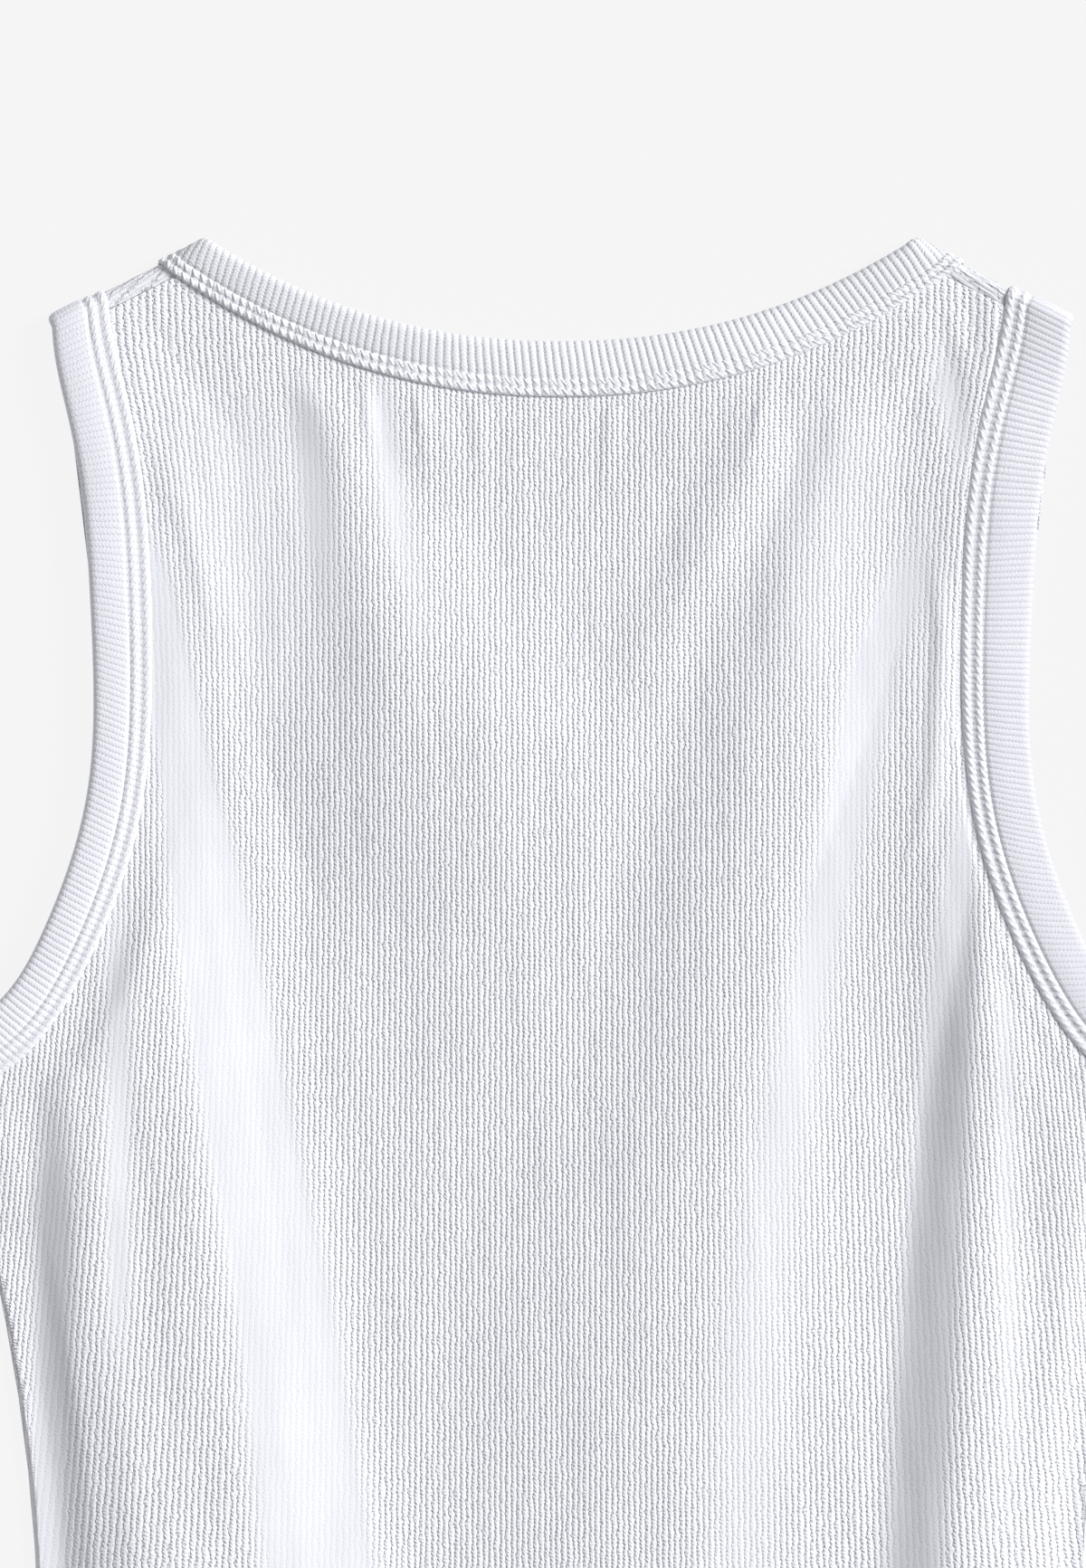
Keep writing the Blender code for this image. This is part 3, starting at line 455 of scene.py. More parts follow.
# %% Small creases of the back
# In the same columns as the folds
CREASES = {
    "right_side": (
        (190, 110, 0, 14, 20), (215, 109, 0.8, 18, 24), (300, 108, 0.9, 20, 26), (367, 104, 0.5, 20, 26),
        (420, 102, 0, 20, 26),
    ),
    "left_edge": (
        (225, -134, 0, 18, 12), (250, -133, -0.55, 20, 12), (340, -128, -0.6, 22, 12),
        (440, -120, -0.4, 22, 12), (520, -122, 0, 22, 12),
    ),
    "strap_left": ((52, -111, 0, 6, 8), (70, -107, 0.5, 6, 9), (95, -98, 0.4, 6, 9), (120, -92, 0, 6, 8)),
    "strap_right": ((14, 105, 0, 4, 5), (30, 110, 0.5, 5, 6), (45, 113, 0, 4, 5)),
    "pucker_1": ((38, -54, 0, 3, 4), (46, -53.5, 0.6, 3, 4), (62, -52, 0, 3, 4)),
    "pucker_2": ((38, -40, 0, 3, 5), (48, -39, 0.6, 3, 5), (70, -36, 0, 3, 5)),
    "pucker_3": ((40, -24, 0, 4, 5), (50, -23, 0.5, 4, 5), (72, -21, 0, 4, 5)),
    "pucker_4": ((40, 14, 0, 4, 5), (50, 14, 0.5, 4, 5), (74, 11, 0, 4, 5)),
    "pucker_5": ((38, 58, 0, 3, 5), (48, 55, 0.6, 3, 5), (66, 50, 0, 3, 5)),
    "drag_right": ((80, 103, 0, 4, 5), (110, 105, 0.7, 4, 5), (150, 103, 0.7, 5, 6), (175, 96, 0, 5, 6)),
}

# %% Where the cloth is drawn smooth
# Each row: depth, x of the middle, how smooth, half width to the left and to the right
TAUT = {
    "left_flank": (
        (78, -114, 0, 5, 5), (95, -112, 1.1, 8, 8), (116, -109, 1.6, 11, 10), (140, -104, 1.6, 13, 11),
        (180, -97, 2, 17, 15), (240, -87, 2.2, 19, 19), (300, -76, 2.2, 20, 22), (367, -68, 2, 22, 26),
        (520, -62, 1.2, 24, 28),
    ),
    "left_binding": (
        (60, -120, 0, 5, 6), (90, -119, 0.9, 7, 9), (150, -120, 0.9, 7, 9), (200, -128, 0, 6, 8),
    ),
    "left_front": (
        (176, -122, 0, 5, 5), (200, -122, 0.9, 7, 7), (290, -122, 0.9, 7, 7), (320, -122, 0, 6, 6),
    ),
    "left_side": (
        (230, -139, 0, 6, 7), (260, -140, 1.1, 9, 9), (367, -141, 1.2, 12, 10), (520, -142, 0.8, 12, 12),
    ),
    "strap_left": (
        (30, -100, 0, 30, 40), (55, -92, 0.5, 34, 44), (100, -88, 0.5, 34, 44), (150, -80, 0, 30, 40),
    ),
    "pucker_dark": ((34, -71, 0, 7, 7), (48, -70, 0.7, 8, 8), (75, -67, 0.8, 9, 9), (112, -62, 0, 9, 9)),
    "pucker_light": ((34, -50, 0, 6, 6), (48, -50, 0.9, 8, 8), (80, -45, 0.8, 9, 9), (118, -36, 0, 9, 9)),
    "middle_flank": (
        (70, 103, 0, 8, 8), (95, 95, 0.8, 11, 11), (120, 86, 1.1, 12, 12), (160, 78, 1.1, 13, 13),
        (200, 70, 0.9, 14, 14), (240, 62, 0.8, 17, 17), (300, 53, 0.6, 20, 20), (367, 50, 0.5, 22, 22),
        (520, 48, 0.4, 24, 24),
    ),
    "right_flank": (
        (140, 112, 0, 4, 4), (165, 111, 0.9, 6, 6), (190, 108.5, 1.3, 10, 9), (230, 106, 1.5, 12, 11),
        (300, 101, 1.5, 13, 12), (367, 97.5, 1.5, 13, 12), (520, 92, 1, 14, 14),
    ),
    "right_crest": ((195, 122, 0, 4, 4), (215, 122, 0.7, 5, 5), (300, 123, 0.6, 5, 5), (380, 124, 0, 5, 5)),
    "right_binding": (
        (80, 104, 0, 6, 6), (100, 104, 0.5, 10, 8), (150, 103, 0.5, 10, 8), (185, 106, 0, 8, 8),
    ),
    "strap_right": ((24, 104, 0, 6, 6), (40, 106, 0.9, 8, 8), (56, 110, 0.7, 7, 7), (70, 112, 0, 6, 6)),
    "neck_right": (
        (40, 76, 0, 26, 30), (60, 76, 0.45, 30, 34), (110, 72, 0.4, 34, 34), (150, 72, 0, 34, 34),
    ),
}
print(len(FOLDS), "folds,", len(CREASES), "small creases and", len(TAUT), "smooth places")

# %% Heights


def edge_distance(points, panel):
    """Distance to the nearest neck or armhole edge of a panel."""
    right = on_right(points)
    return np.minimum(distance_to(right, NECK_EDGE[panel]), distance_to(right, ARM_EDGE[panel]))


def near_front_binding(points):
    """1 over the front bindings, 0 where the front has settled to the surface."""
    return 1 - smooth((edge_distance(points, "front") - BINDING_REACH) / SETTLE)


def front_height(points):
    """Underside of the front: one layer up over its own bindings, and on the surface elsewhere."""
    return LAYER * near_front_binding(points)


def side_pile(depth):
    """1 where the bindings pile up at the side, 0 down the body, along the side edge."""
    return near_front_binding(np.column_stack([side_x(depth), depth]))


def from_side(points):
    """Distance in from the nearer side edge: the half width at that depth less |x|."""
    return side_x(points[:, 1]) - np.abs(points[:, 0])


def ridges(points, table):
    """Sum of ridges: rise * (1 + cos(pi * offset from the crest / flank)) / 2, each along its own crest."""
    x, depth = points.T
    total = np.zeros(len(points))
    for rows in table.values():
        at, crest, height, left, right = np.array(rows, float).T
        offset = x - np.interp(depth, at, crest)
        flank = np.where(offset < 0, np.interp(depth, at, left), np.interp(depth, at, right))
        rise = np.interp(depth, at, height, left=0.0)
        total += rise * (1 + np.cos(math.pi * np.clip(offset / flank, -1, 1))) / 2
    return total


def back_height(points):
    """Inner side of the back, over the front, its bindings and the bindings' own inner leaves."""
    x, depth = points.T
    reach = edge_distance(points, "front")
    near_back = edge_distance(points, "back")
    in_scoop = depth < neck_depth(x, "front")
    over_front = 1 - smooth((np.where(in_scoop, 0.0, reach) - FRONT_REACH) / FRONT_SETTLE)
    over_leaf = 1 - smooth((near_back - BINDING_REACH) / SETTLE)
    sag = NECK_SAG * np.where(in_scoop, smooth((reach - SAG_START) / SAG_LENGTH), 0.0)
    folds = ridges(points, FOLDS) * smooth((near_back - BINDING_REACH + 1) / FOLD_CLEAR_OF_BINDING)
    folds *= smooth((from_side(points) - THIN_PILE) / FOLD_CLEAR_OF_SIDE)
    middle = LAYER + 2 * LAYER * over_front + LAYER * over_leaf - sag + folds
    edge = LAYER + 3 * LAYER * side_pile(np.maximum(depth, UNDERARM[1]))
    return edge + (middle - edge) * smooth((from_side(points) - THIN_PILE) / (2 * FOLD_CLEAR_OF_SIDE))


# %% [markdown]
# ### The small unevenness of cloth at rest
#
# Real jersey never lies as evenly as a formula. Long, low waves of a few tenths of a millimetre, stretched
# along the ribs, break up the shading. They are sines at angles that don't repeat together.

# %% Unevenness
# Each row: wave length across, wave length down, shift, height, in millimetres
WAVES = (
    (31.0, 190.0, 0.4, 0.07),
    (-23.0, 140.0, 2.1, 0.05),
    (17.0, -110.0, 4.0, 0.03),
    (12.3, 75.0, 1.2, 0.02),
    (-9.1, 64.0, 5.1, 0.015),
    (6.7, -38.0, 3.3, 0.012),
)
CREASE_CLEAR = 17.0
CREASE_FADE = 3.0
TAUT_MOST = 0.86


def unevenness(points):
    """Sum of height * sin(2 pi (x / across + depth / down) + shift), fading out under the bindings."""
    x, depth = points.T
    total = np.zeros(len(points))
    for across, down, shift, height in WAVES:
        total += height * np.sin(2 * math.pi * (x / across + depth / down) + shift)
    return total


def creases(points):
    """The small creases and the unevenness, clear of the bindings and of the side folds."""
    clear = smooth((edge_distance(points, "back") - CREASE_CLEAR) / CREASE_FADE)
    clear *= smooth((from_side(points) - THIN_PILE) / FOLD_CLEAR_OF_SIDE)
    return (ridges(points, CREASES) + unevenness(points)) * clear


def tautness(points):
    """How far the cloth is drawn smooth, from 0 for slack cloth: its ribs lie flat there."""
    return np.clip(ridges(points, TAUT), 0, TAUT_MOST)


# %% [markdown]
# ## Meshes
#
# Each piece is worked out as whole arrays: a grid of points over two parameters, and the faces between its
# neighbours. Where the plan cuts a rib off, the points past the cut are pulled back onto it. They fall on
# each other there, so equal points are merged and the faces that shrink to nothing are dropped, which
# leaves a clean curved edge without any cutting.
#
# The coordinates that knitting follows are kept in a UV map: u counts ribs and v counts courses, the rows
# of loops. A pattern read from it stays on its rib however the cloth bends.

# %% Mesh helpers
SHARP = math.radians(62)


def to_world(points):
    """Plan millimetres (x, depth, height) to metres, with y from the middle of the garment."""
    return np.column_stack([points[:, 0], MIDDLE_DEPTH - points[:, 1], points[:, 2]]) * MM


def grid_faces(rows, columns, closed_rows=False, closed_columns=False):
    """Quads of a grid whose points are numbered row by row: (r, c), (r, c+1), (r+1, c+1), (r+1, c)."""
    r = np.arange(rows if closed_rows else rows - 1)[:, None]
    c = np.arange(columns if closed_columns else columns - 1)[None]
    below, beside = (r + 1) % rows, (c + 1) % columns
    quads = [r * columns + c, r * columns + beside, below * columns + beside, below * columns + c]
    return np.stack([np.broadcast_to(q, (r.size, c.size)) for q in quads], axis=-1).reshape(-1, 4)


def as_triangles(quads):
    """Two triangles for each quad: its corners 0, 1, 2 and 0, 2, 3."""
    return np.concatenate([quads[:, [0, 1, 2]], quads[:, [0, 2, 3]]])


def merged(points, faces):
    """Gives points that fall on each other one number, and drops the faces that shrink to nothing."""
    _, first, same = np.unique(np.round(points, 4), axis=0, return_index=True, return_inverse=True)
    faces = same.reshape(-1)[faces]
    whole = (faces[:, 0] != faces[:, 1]) & (faces[:, 1] != faces[:, 2]) & (faces[:, 2] != faces[:, 0])
    return first, faces[whole]


def rim(faces):
    """The numbers of the points round the open edge of a mesh, in order."""
    edges = np.concatenate([faces[:, [0, 1]], faces[:, [1, 2]], faces[:, [2, 0]]]).astype(np.int64)
    key, back = edges[:, 0] << 32 | edges[:, 1], edges[:, 1] << 32 | edges[:, 0]
    open_edges = edges[~np.isin(key, back)]
    following = dict(open_edges.tolist())
    assert len(following) == len(open_edges), "the open edge touches itself"
    loop = [open_edges[0][0].item()]
    while following[loop[-1]] != loop[0]:
        loop.append(following[loop[-1]])
    assert len(loop) == len(open_edges), "there is more than one open edge"
    return np.array(loop)


def volume_within(points, faces):
    """Six times the volume that a closed shell holds, below 0 where it is inside out."""
    corners = points[faces]
    return np.einsum("ij,ij->i", corners[:, 0], np.cross(corners[:, 1], corners[:, 2])).sum()


def make_piece(name, points, faces, uv, material, **values):
    """A mesh object from world points, faces of equal length, a (u, v) for each point or each corner, and
    named values for its points, which the material reads."""
    if volume_within(points, faces) < 0:
        faces = faces[:, ::-1]
        uv = uv if len(uv) == len(points) else uv.reshape(len(faces), -1, 2)[:, ::-1].reshape(-1, 2)
    corner_uv = uv[faces.ravel()] if len(uv) == len(points) else uv
    mesh = bpy.data.meshes.new(name)
    mesh.from_pydata(points, [], faces.tolist())
    mesh.uv_layers.new(name="knit").data.foreach_set("uv", corner_uv.astype(np.float32).ravel())
    for label, value in values.items():
        mesh.attributes.new(label, "FLOAT", "POINT").data.foreach_set("value", value.astype(np.float32))
    mesh.shade_smooth()
    mesh.set_sharp_from_angle(angle=SHARP)
    mesh.materials.append(material)
    print(f"{name}: {len(points)} points, {len(faces) * (faces.shape[1] - 2)} triangles")
    return add_object(name, mesh)


# %% [markdown]
# ## Rib knit as a material
#
# The cords and furrows are real geometry. What is left for the material is what is finer than the mesh: the
# loops of yarn, which make each cord a row of small V shapes, the way a cord's edge wavers from loop to
# loop, the shade deep in a furrow and between the loops, painted into the colour, and the slight
# cloudiness of white cotton.
#
# It all follows the knit coordinates. The distance from the middle of a rib is |2 fract(u) - 1|. Adding it
# to v before the waves are taken bends each course into a V. Both drive the bump and the painted shade in
# the colour together.
#
# Two values come with the mesh. Where it is taut, the loops are drawn flat and the painted shade is one
# even tone. The other is painted shade that dims the colour where a part would stand too bright in this
# light: on the folded edges of the neck and right bindings, where bindings turn under on the right half,
# at the tips of the neck binding, at the start of the right armhole binding and on the right shoulder's band.

# %% Node helpers


class Value:
    """What a node gives. Adding, subtracting or multiplying it adds the node that works that out."""

    def __init__(self, nodes, socket):
        self.nodes = nodes
        self.socket = socket

    def math(self, operation, *others):
        return self.nodes.math(operation, self, *others)

    def __add__(self, other):
        return self.math("ADD", other)

    def __sub__(self, other):
        return self.math("SUBTRACT", other)

    def __rsub__(self, other):
        return self.nodes.math("SUBTRACT", other, self)

    def __mul__(self, other):
        return self.math("MULTIPLY", other)


class Nodes:
    """Short ways to add the nodes of one material and to link them."""

    def __init__(self, name):
        self.material = bpy.data.materials.new(name)
        self.material.use_nodes = True
        self.tree = self.material.node_tree
        self.finish = self.tree.nodes["Principled BSDF"].inputs

    def put(self, socket, value):
        """A link, if value comes from a node, and otherwise a constant on the socket itself."""
        if isinstance(value, Value):
            self.tree.links.new(value.socket, socket)
        else:
            socket.default_value = value

    def add(self, kind, inputs=(), output=0, **settings):
        """Adds one node, fills its inputs and gives one of its outputs."""
        node = self.tree.nodes.new("ShaderNode" + kind)
        for key, value in settings.items():
            setattr(node, key, value)
        for socket, value in dict(inputs).items():
            self.put(node.inputs[socket], value)
        return Value(self, node.outputs[output])

    def math(self, operation, *values):
        return self.add("Math", dict(enumerate(values)), operation=operation)

    def noise(self, where, scale, detail=2.0):
        return self.add("TexNoise", {"Vector": where, "Scale": scale, "Detail": detail})

    def mix(self, share, one, two, **settings):
        return self.add("Mix", {0: share, 6: one, 7: two}, 2, data_type="RGBA", **settings)

    def knit_coordinates(self):
        """u, which counts ribs, and v, which counts courses."""
        parts = self.add("SeparateXYZ", {0: self.add("UVMap", uv_map="knit")}).socket.node.outputs
        return Value(self, parts[0]), Value(self, parts[1])

    def attribute(self, name):
        return self.add("Attribute", output="Fac", attribute_name=name)


# %% The knit
YARN_ROUGHNESS = 0.92
YARN_SHEEN = 0.22
YARN_SPECULAR = 0.2
FURROW_WIDTH = 3.0
# Painted shade: the colour darkens towards the furrow colour in each furrow and in the gap between courses
FURROW_SHADE = 0.3
LOOP_SLANT = 0.55
FIBRE_SCALE = 2600.0
FIBRE = 0.25
WAVER_SCALE = 750.0
SWAY_SCALE = 330.0
JITTER_SCALE = 260.0
JITTER = 1.6
# Where the cloth is taut, one even tone of the painted furrow shade, 0 for all of it and 1 for none. It lies
# darker than slack ribs do on average, so it is painted shade on the flanks of the folds.
TAUT_SHADE = 0.4
# How much the painted shade value from the mesh darkens the colour
PAINTED_SHADE_STRENGTH = 0.27
CLOUD_SCALE = 38.0
CLOUD = {1: 0.3, 2: 0.7, 3: 0.955, 4: 1.0}


def knit_finish(name, cord, furrow, waver, loops, relief):
    """Rib knit: cord is its colour and furrow the darker colour painted as shade in its furrows and between
    its loops, waver how far a cord's edge wanders as a share of the pitch, loops how much the loops stand
    out, and relief the height of the bump in metres."""
    knit = Nodes(name)
    place = knit.add("TexCoord", output="Object")
    across, down = knit.knit_coordinates()
    slack = 1.0 - knit.attribute("taut")
    wander = (knit.noise(place, WAVER_SCALE) - 0.5) * waver + (knit.noise(place, SWAY_SCALE) - 0.5) * waver
    own_start = knit.add("TexWhiteNoise", {"W": across.math("FLOOR")}, "Value", noise_dimensions="1D")
    jitter = knit.noise(place, JITTER_SCALE) * JITTER + own_start
    off_crest = ((across + wander).math("FRACT") * 2.0 - 1.0).math("ABSOLUTE")
    loop = ((down + jitter + off_crest * LOOP_SLANT).math("FRACT") * math.pi).math("SINE")
    pinched = off_crest * (1.0 + loops / 2 - loop * loops)
    cordness = 1.0 - pinched.math("POWER", FURROW_WIDTH)
    raised = cordness * (loop * loops + (1.0 - loops))
    height = (raised + knit.noise(place, FIBRE_SCALE, 3.0) * FIBRE) * slack
    bump = knit.add("Bump", {"Strength": 1.0, "Distance": relief, "Height": height})
    # Painted shade: darker in the furrows and between the loops, and one even tone of it where taut
    shade = cordness * (loop * FURROW_SHADE + (1.0 - FURROW_SHADE)) * slack + (1.0 - slack) * TAUT_SHADE
    cloud = knit.add("MapRange", {0: knit.noise(place, CLOUD_SCALE, 4.0), **CLOUD})
    # Painted shade from the mesh dims the colour where a part would stand too bright
    light = cloud * (1.0 - knit.attribute("opened") * PAINTED_SHADE_STRENGTH)
    knit.put(knit.finish["Normal"], bump)
    colour = knit.mix(1.0, knit.mix(shade, furrow, cord), light, blend_type="MULTIPLY")
    knit.put(knit.finish["Base Color"], colour)
    knit.finish["Roughness"].default_value = YARN_ROUGHNESS
    knit.finish["Sheen Weight"].default_value = YARN_SHEEN
    knit.finish["Specular IOR Level"].default_value = YARN_SPECULAR
    return knit.material


# The cord colours are the yarn's own; the furrow colours are painted shade
CORD = (0.90, 0.91, 0.955, 1)
FURROW = (0.72, 0.73, 0.78, 1)
ARMHOLE_CORD = (0.84, 0.84, 0.90, 1)
ARMHOLE_FURROW = (0.76, 0.76, 0.82, 1)
body_knit = knit_finish("body_rib", CORD, FURROW, waver=0.85, loops=0.32, relief=0.00036)
neck_knit = knit_finish("neck_rib", CORD, FURROW, waver=0.35, loops=0.35, relief=0.00016)
armhole_looks = {"waver": 0.40, "loops": 0.35, "relief": 0.00009}
armhole_knit = knit_finish("armhole_rib", ARMHOLE_CORD, ARMHOLE_FURROW, **armhole_looks)

# %% Thread
THREAD_COLOUR = (0.87, 0.87, 0.91, 1)
THREAD_SHADE = (0.82, 0.82, 0.87, 1)
THREAD_ROUGHNESS = 0.7
THREAD_SHEEN = 0.2
TWIST_HEIGHT = 0.00004
TWIST_STRENGTH = 0.6
THREAD_PATCHES = 300.0


def thread_finish():
    """Spun polyester: a little brighter and glossier than the cotton, with its twist as slanting lines."""
    yarn = Nodes("thread")
    along_it, round_it = yarn.knit_coordinates()
    twist = ((along_it + round_it) * (6 * math.pi)).math("SINE")
    patches = yarn.noise(yarn.add("TexCoord", output="Object"), THREAD_PATCHES)
    bump = yarn.add("Bump", {"Strength": TWIST_STRENGTH, "Distance": TWIST_HEIGHT, "Height": twist})
    yarn.put(yarn.finish["Normal"], bump)
    yarn.put(yarn.finish["Base Color"], yarn.mix(patches, THREAD_SHADE, THREAD_COLOUR))
    yarn.finish["Roughness"].default_value = THREAD_ROUGHNESS
    yarn.finish["Sheen Weight"].default_value = THREAD_SHEEN
    return yarn.material


thread = thread_finish()

# %% [markdown]
# ## The back
#
# The back is cut to the width of the body, with its upper edges hidden inside the bindings. In 1x1 rib the
# cords run straight down the body and fan out a little up the straps, where the narrow shoulder stretches.
#
# So the surface is a function of two things: which rib, with four points to each, and how deep. Each rib
# starts where it comes out of the neck, shoulder or armhole, and is pulled in to the side where the body
# narrows. There the cloth turns a quarter round its fold, to meet the front. The outer side carries the
# ribs; the inner side lies unseen on the layers below, so it is a plain, sparse sheet from the same edge.

# %% Ribs of the body
POINTS_PER_RIB = 4
RIB_RISE = 0.22
RIB_DEPTH = 0.13
ROUNDNESS = 0.62
FAN_INSET = 16.0
FAN_POWER = 4.0
FAN_MOST = 1.1
FLARE = 0.05
FLARE_AT = 100.0
FLARE_POWER = 2.5
FLARE_MOST = 1.3
FLARE_START = 190.0
FLARE_END = 400.0


def rib_profile(phase):
    """|sin(pi phase)| ^ 0.62: 0 in the furrows, at whole phases, and a round cord between them."""
    return np.abs(np.sin(math.pi * phase)) ** ROUNDNESS


def fan_x(rib, depth):
    """x of a rib at a depth: straight in the middle, spread up the straps, a little outwards lower down."""
    straight = NARROWEST[0] - FAN_INSET
    edge = np.interp(depth, ARMHOLE[:6, 1], ARMHOLE[:6, 0])
    spread = np.where(depth < NARROWEST[1], edge - NARROWEST[0], 0.0)
    spread = spread * np.minimum(np.abs(rib) / straight, FAN_MOST) ** FAN_POWER
    below = np.clip(depth, FLARE_START, FLARE_END) - FLARE_START
    flare = FLARE * below * np.minimum(np.abs(rib) / FLARE_AT, FLARE_MOST) ** FLARE_POWER
    return rib + np.sign(rib) * (spread + flare)


# %% Edges of a panel
EDGE_SHARES = np.linspace(0, 1, 90)
TRACE_STEP = 0.5
NECK_REACH = 6.0
FOLD_STEP = 2.0


def panel_edges(panel):
    """The panel's neck and armhole edges inside the bindings, as functions of x and of depth."""
    neck = STRIPS["neck"][panel].line(EDGE_SHARES, PANEL_EDGE)
    arm = STRIPS["right"][panel].line(EDGE_SHARES, PANEL_EDGE)

    def neck_at(x):
        return np.interp(np.abs(x), neck[neck[:, 0] >= 0, 0], neck[neck[:, 0] >= 0, 1])

    def half_width(depth):
        side = side_x(depth) - fold_middle(depth)
        return np.where(depth < arm[-1, 1], np.interp(depth, arm[:, 1], arm[:, 0]), side)

    return neck_at, half_width, arm[-1]


def fold_middle(depth):
    """How far the middle of the side fold lies above the surface, and in from the edge."""
    listed = np.arange(UNDERARM[1], BODY_LENGTH, FOLD_STEP)
    return THIN_PILE + 2 * LAYER * np.interp(depth, listed, side_pile(listed))


def rib_tops(panel, ribs, inset):
    """The depth at which each rib leaves the neck, shoulder or armhole edge."""
    neck_at, half_width, flange_end = panel_edges(panel)
    depth = np.arange(0.0, flange_end[1] + TRACE_STEP, TRACE_STEP)
    x = fan_x(ribs[:, None], depth[None])
    grid = np.broadcast_to(depth, x.shape)
    from_shoulder = inside_shoulder(np.column_stack([x.ravel(), grid.ravel()]), inset).reshape(x.shape)
    under_neck = np.where(np.abs(x) < NECK_POINT[0] + NECK_REACH, grid - neck_at(x), np.inf)
    inside = np.minimum(np.minimum(under_neck, from_shoulder), half_width(grid) - np.abs(x))
    first = np.argmax(inside > 0, axis=1)
    before = np.maximum(first - 1, 0)
    which = np.arange(len(ribs))
    one, two = inside[which, before], inside[which, first]
    share = np.where(first > 0, one / np.where(first > 0, one - two, 1.0), 0.0)
    return np.where((inside > 0).any(axis=1), depth[before] + TRACE_STEP * share, flange_end[1])


# %% A panel as a closed sheet
PAST_SIDE = 2.0
SIDE_TURN = np.radians([80, 60, 40, 20, 0])
EDGE_ROLL = np.array([0.0, 0.5, 1.1])
LINING_STEP = 9
LINING_DEPTHS = np.arange(30.0, BODY_LENGTH - 8.0, 14.0)
# How far the points of the lining keep from its top and side edges
LINING_CLEAR = {"top": 6.0, "side": 5.0}


def side_turn(depth, side, facing):
    """The quarter turn at a side: columns of points that run down to the middle of the fold."""
    pile = fold_middle(depth)
    bound = (pile - THIN_PILE) / (2 * LAYER)
    start = side_x(depth) - pile
    columns = {"outer": [], "inner": [], "phase": []}
    for angle in SIDE_TURN:
        phase = (start + pile * (math.pi / 2 - angle)) / PITCH
        ribbed = RIB_DEPTH * (1 - rib_profile(phase))
        for kind, away in (("outer", THIN_PILE + LAYER * bound - ribbed), ("inner", GAP / 2 + LAYER * bound)):
            out = side * (start + away * math.cos(angle))
            high = pile + facing * (GAP / 2 + (away - GAP / 2) * math.sin(angle))
            columns[kind].append(np.column_stack([out, depth, high]))
        columns["phase"].append(side * phase)
    return [np.array(columns[kind]) for kind in columns]


def lined(points, partner, faces, uv, inside, filling):
    """Adds the plain inner side within the same rim, and the narrow wall between the two rims."""
    loop = rim(faces)
    within = partner[loop]
    plan = np.vstack([within[:, :2], filling])
    edges = [(i, (i + 1) % len(loop)) for i in range(len(loop))]
    corners, _, made, origin, _, _ = delaunay_2d_cdt([tuple(p) for p in plan], edges, [], 1, 1e-5)
    assert len(corners) == len(plan), "the rim crosses itself"
    lining = np.array([[origin[v][0] for v in face] for face in made])
    high = np.concatenate([within[:, 2], inside(filling)])
    number = np.arange(len(loop)) + len(points)
    walls = np.column_stack([np.roll(loop, -1), loop, number, np.roll(number, -1)])
    all_faces = np.concatenate([faces, as_triangles(walls), lining + len(points)])
    all_points = np.vstack([points, np.column_stack([plan, high])])
    return all_points, all_faces, np.vstack([uv, plan / (PITCH, COURSE)])


def panel_sheet(panel, depths, inset, outside, inside, facing):
    """Points, faces and knit coordinates of a panel.

    outside and inside give the heights of its two sides at plan points, and facing is +1 for the back, whose
    outer side looks up, and -1 for the front.
    """
    reach = int((UNDERARM[0] + PAST_SIDE) / PITCH * POINTS_PER_RIB)
    ribs = np.arange(-reach, reach + 1) * PITCH / POINTS_PER_RIB
    tops = rib_tops(panel, ribs, inset)
    half_width = panel_edges(panel)[1]
    rolled = tops[:, None] + EDGE_ROLL
    depth = np.concatenate([rolled, np.maximum(depths[None], rolled[:, -1:])], axis=1)
    wide = half_width(depth)
    straight = fan_x(ribs[:, None], depth)
    x = np.clip(straight, -wide, wide)
    plan = np.column_stack([x.ravel(), depth.ravel()])
    phase = np.where(np.abs(straight) <= wide, ribs[:, None] / PITCH, x / PITCH)
    middle = [np.column_stack([plan, outside(plan, phase.ravel())]), np.column_stack([plan, inside(plan)])]
    left, right = (side_turn(depth[end], side, facing) for end, side in ((0, -1), (-1, 1)))
    middle = [*(half.reshape(*x.shape, 3) for half in middle), phase]
    outer, inner, rib = (np.concatenate([left[k][::-1], middle[k], right[k]]) for k in range(3))
    flat_outer, flat_inner = outer.reshape(-1, 3), inner.reshape(-1, 3)
    kept, faces = merged(flat_outer, as_triangles(grid_faces(*rib.shape)))
    uv = np.column_stack([rib.ravel(), flat_outer[:, 1] / COURSE])[kept]
    sparse = slice(LINING_STEP, -LINING_STEP, LINING_STEP)
    x = fan_x(ribs[sparse, None], LINING_DEPTHS[None])
    deep = np.broadcast_to(LINING_DEPTHS, x.shape)
    clear = deep > tops[sparse, None] + LINING_CLEAR["top"]
    clear &= np.abs(x) < half_width(deep) - LINING_CLEAR["side"]
    filling = np.column_stack([x[clear], deep[clear]])
    return lined(flat_outer[kept], flat_inner[kept], faces, uv, inside, filling)


# %% [markdown]
# ### The hem
#
# The lower edge is turned up 20 mm to the inside and held by two rows of coverstitch, so the band is two
# layers thick and a little raised, with the rows sunk into it. It is part of the panel, so it is added to
# the panel's height as a soft step, two narrow grooves and a rounded last edge.

# %% Hem
HEM_RAISE = 0.35
HEM_ROWS = (1.7, 6.7)
HEM_TOP = BODY_LENGTH - HEM
HEM_STEP = 1.2
GROOVE_DEPTH = 0.28
GROOVE_WIDTH = 0.8
HEM_ROUNDING = 1.6
HEM_EDGE_DROP = 0.55


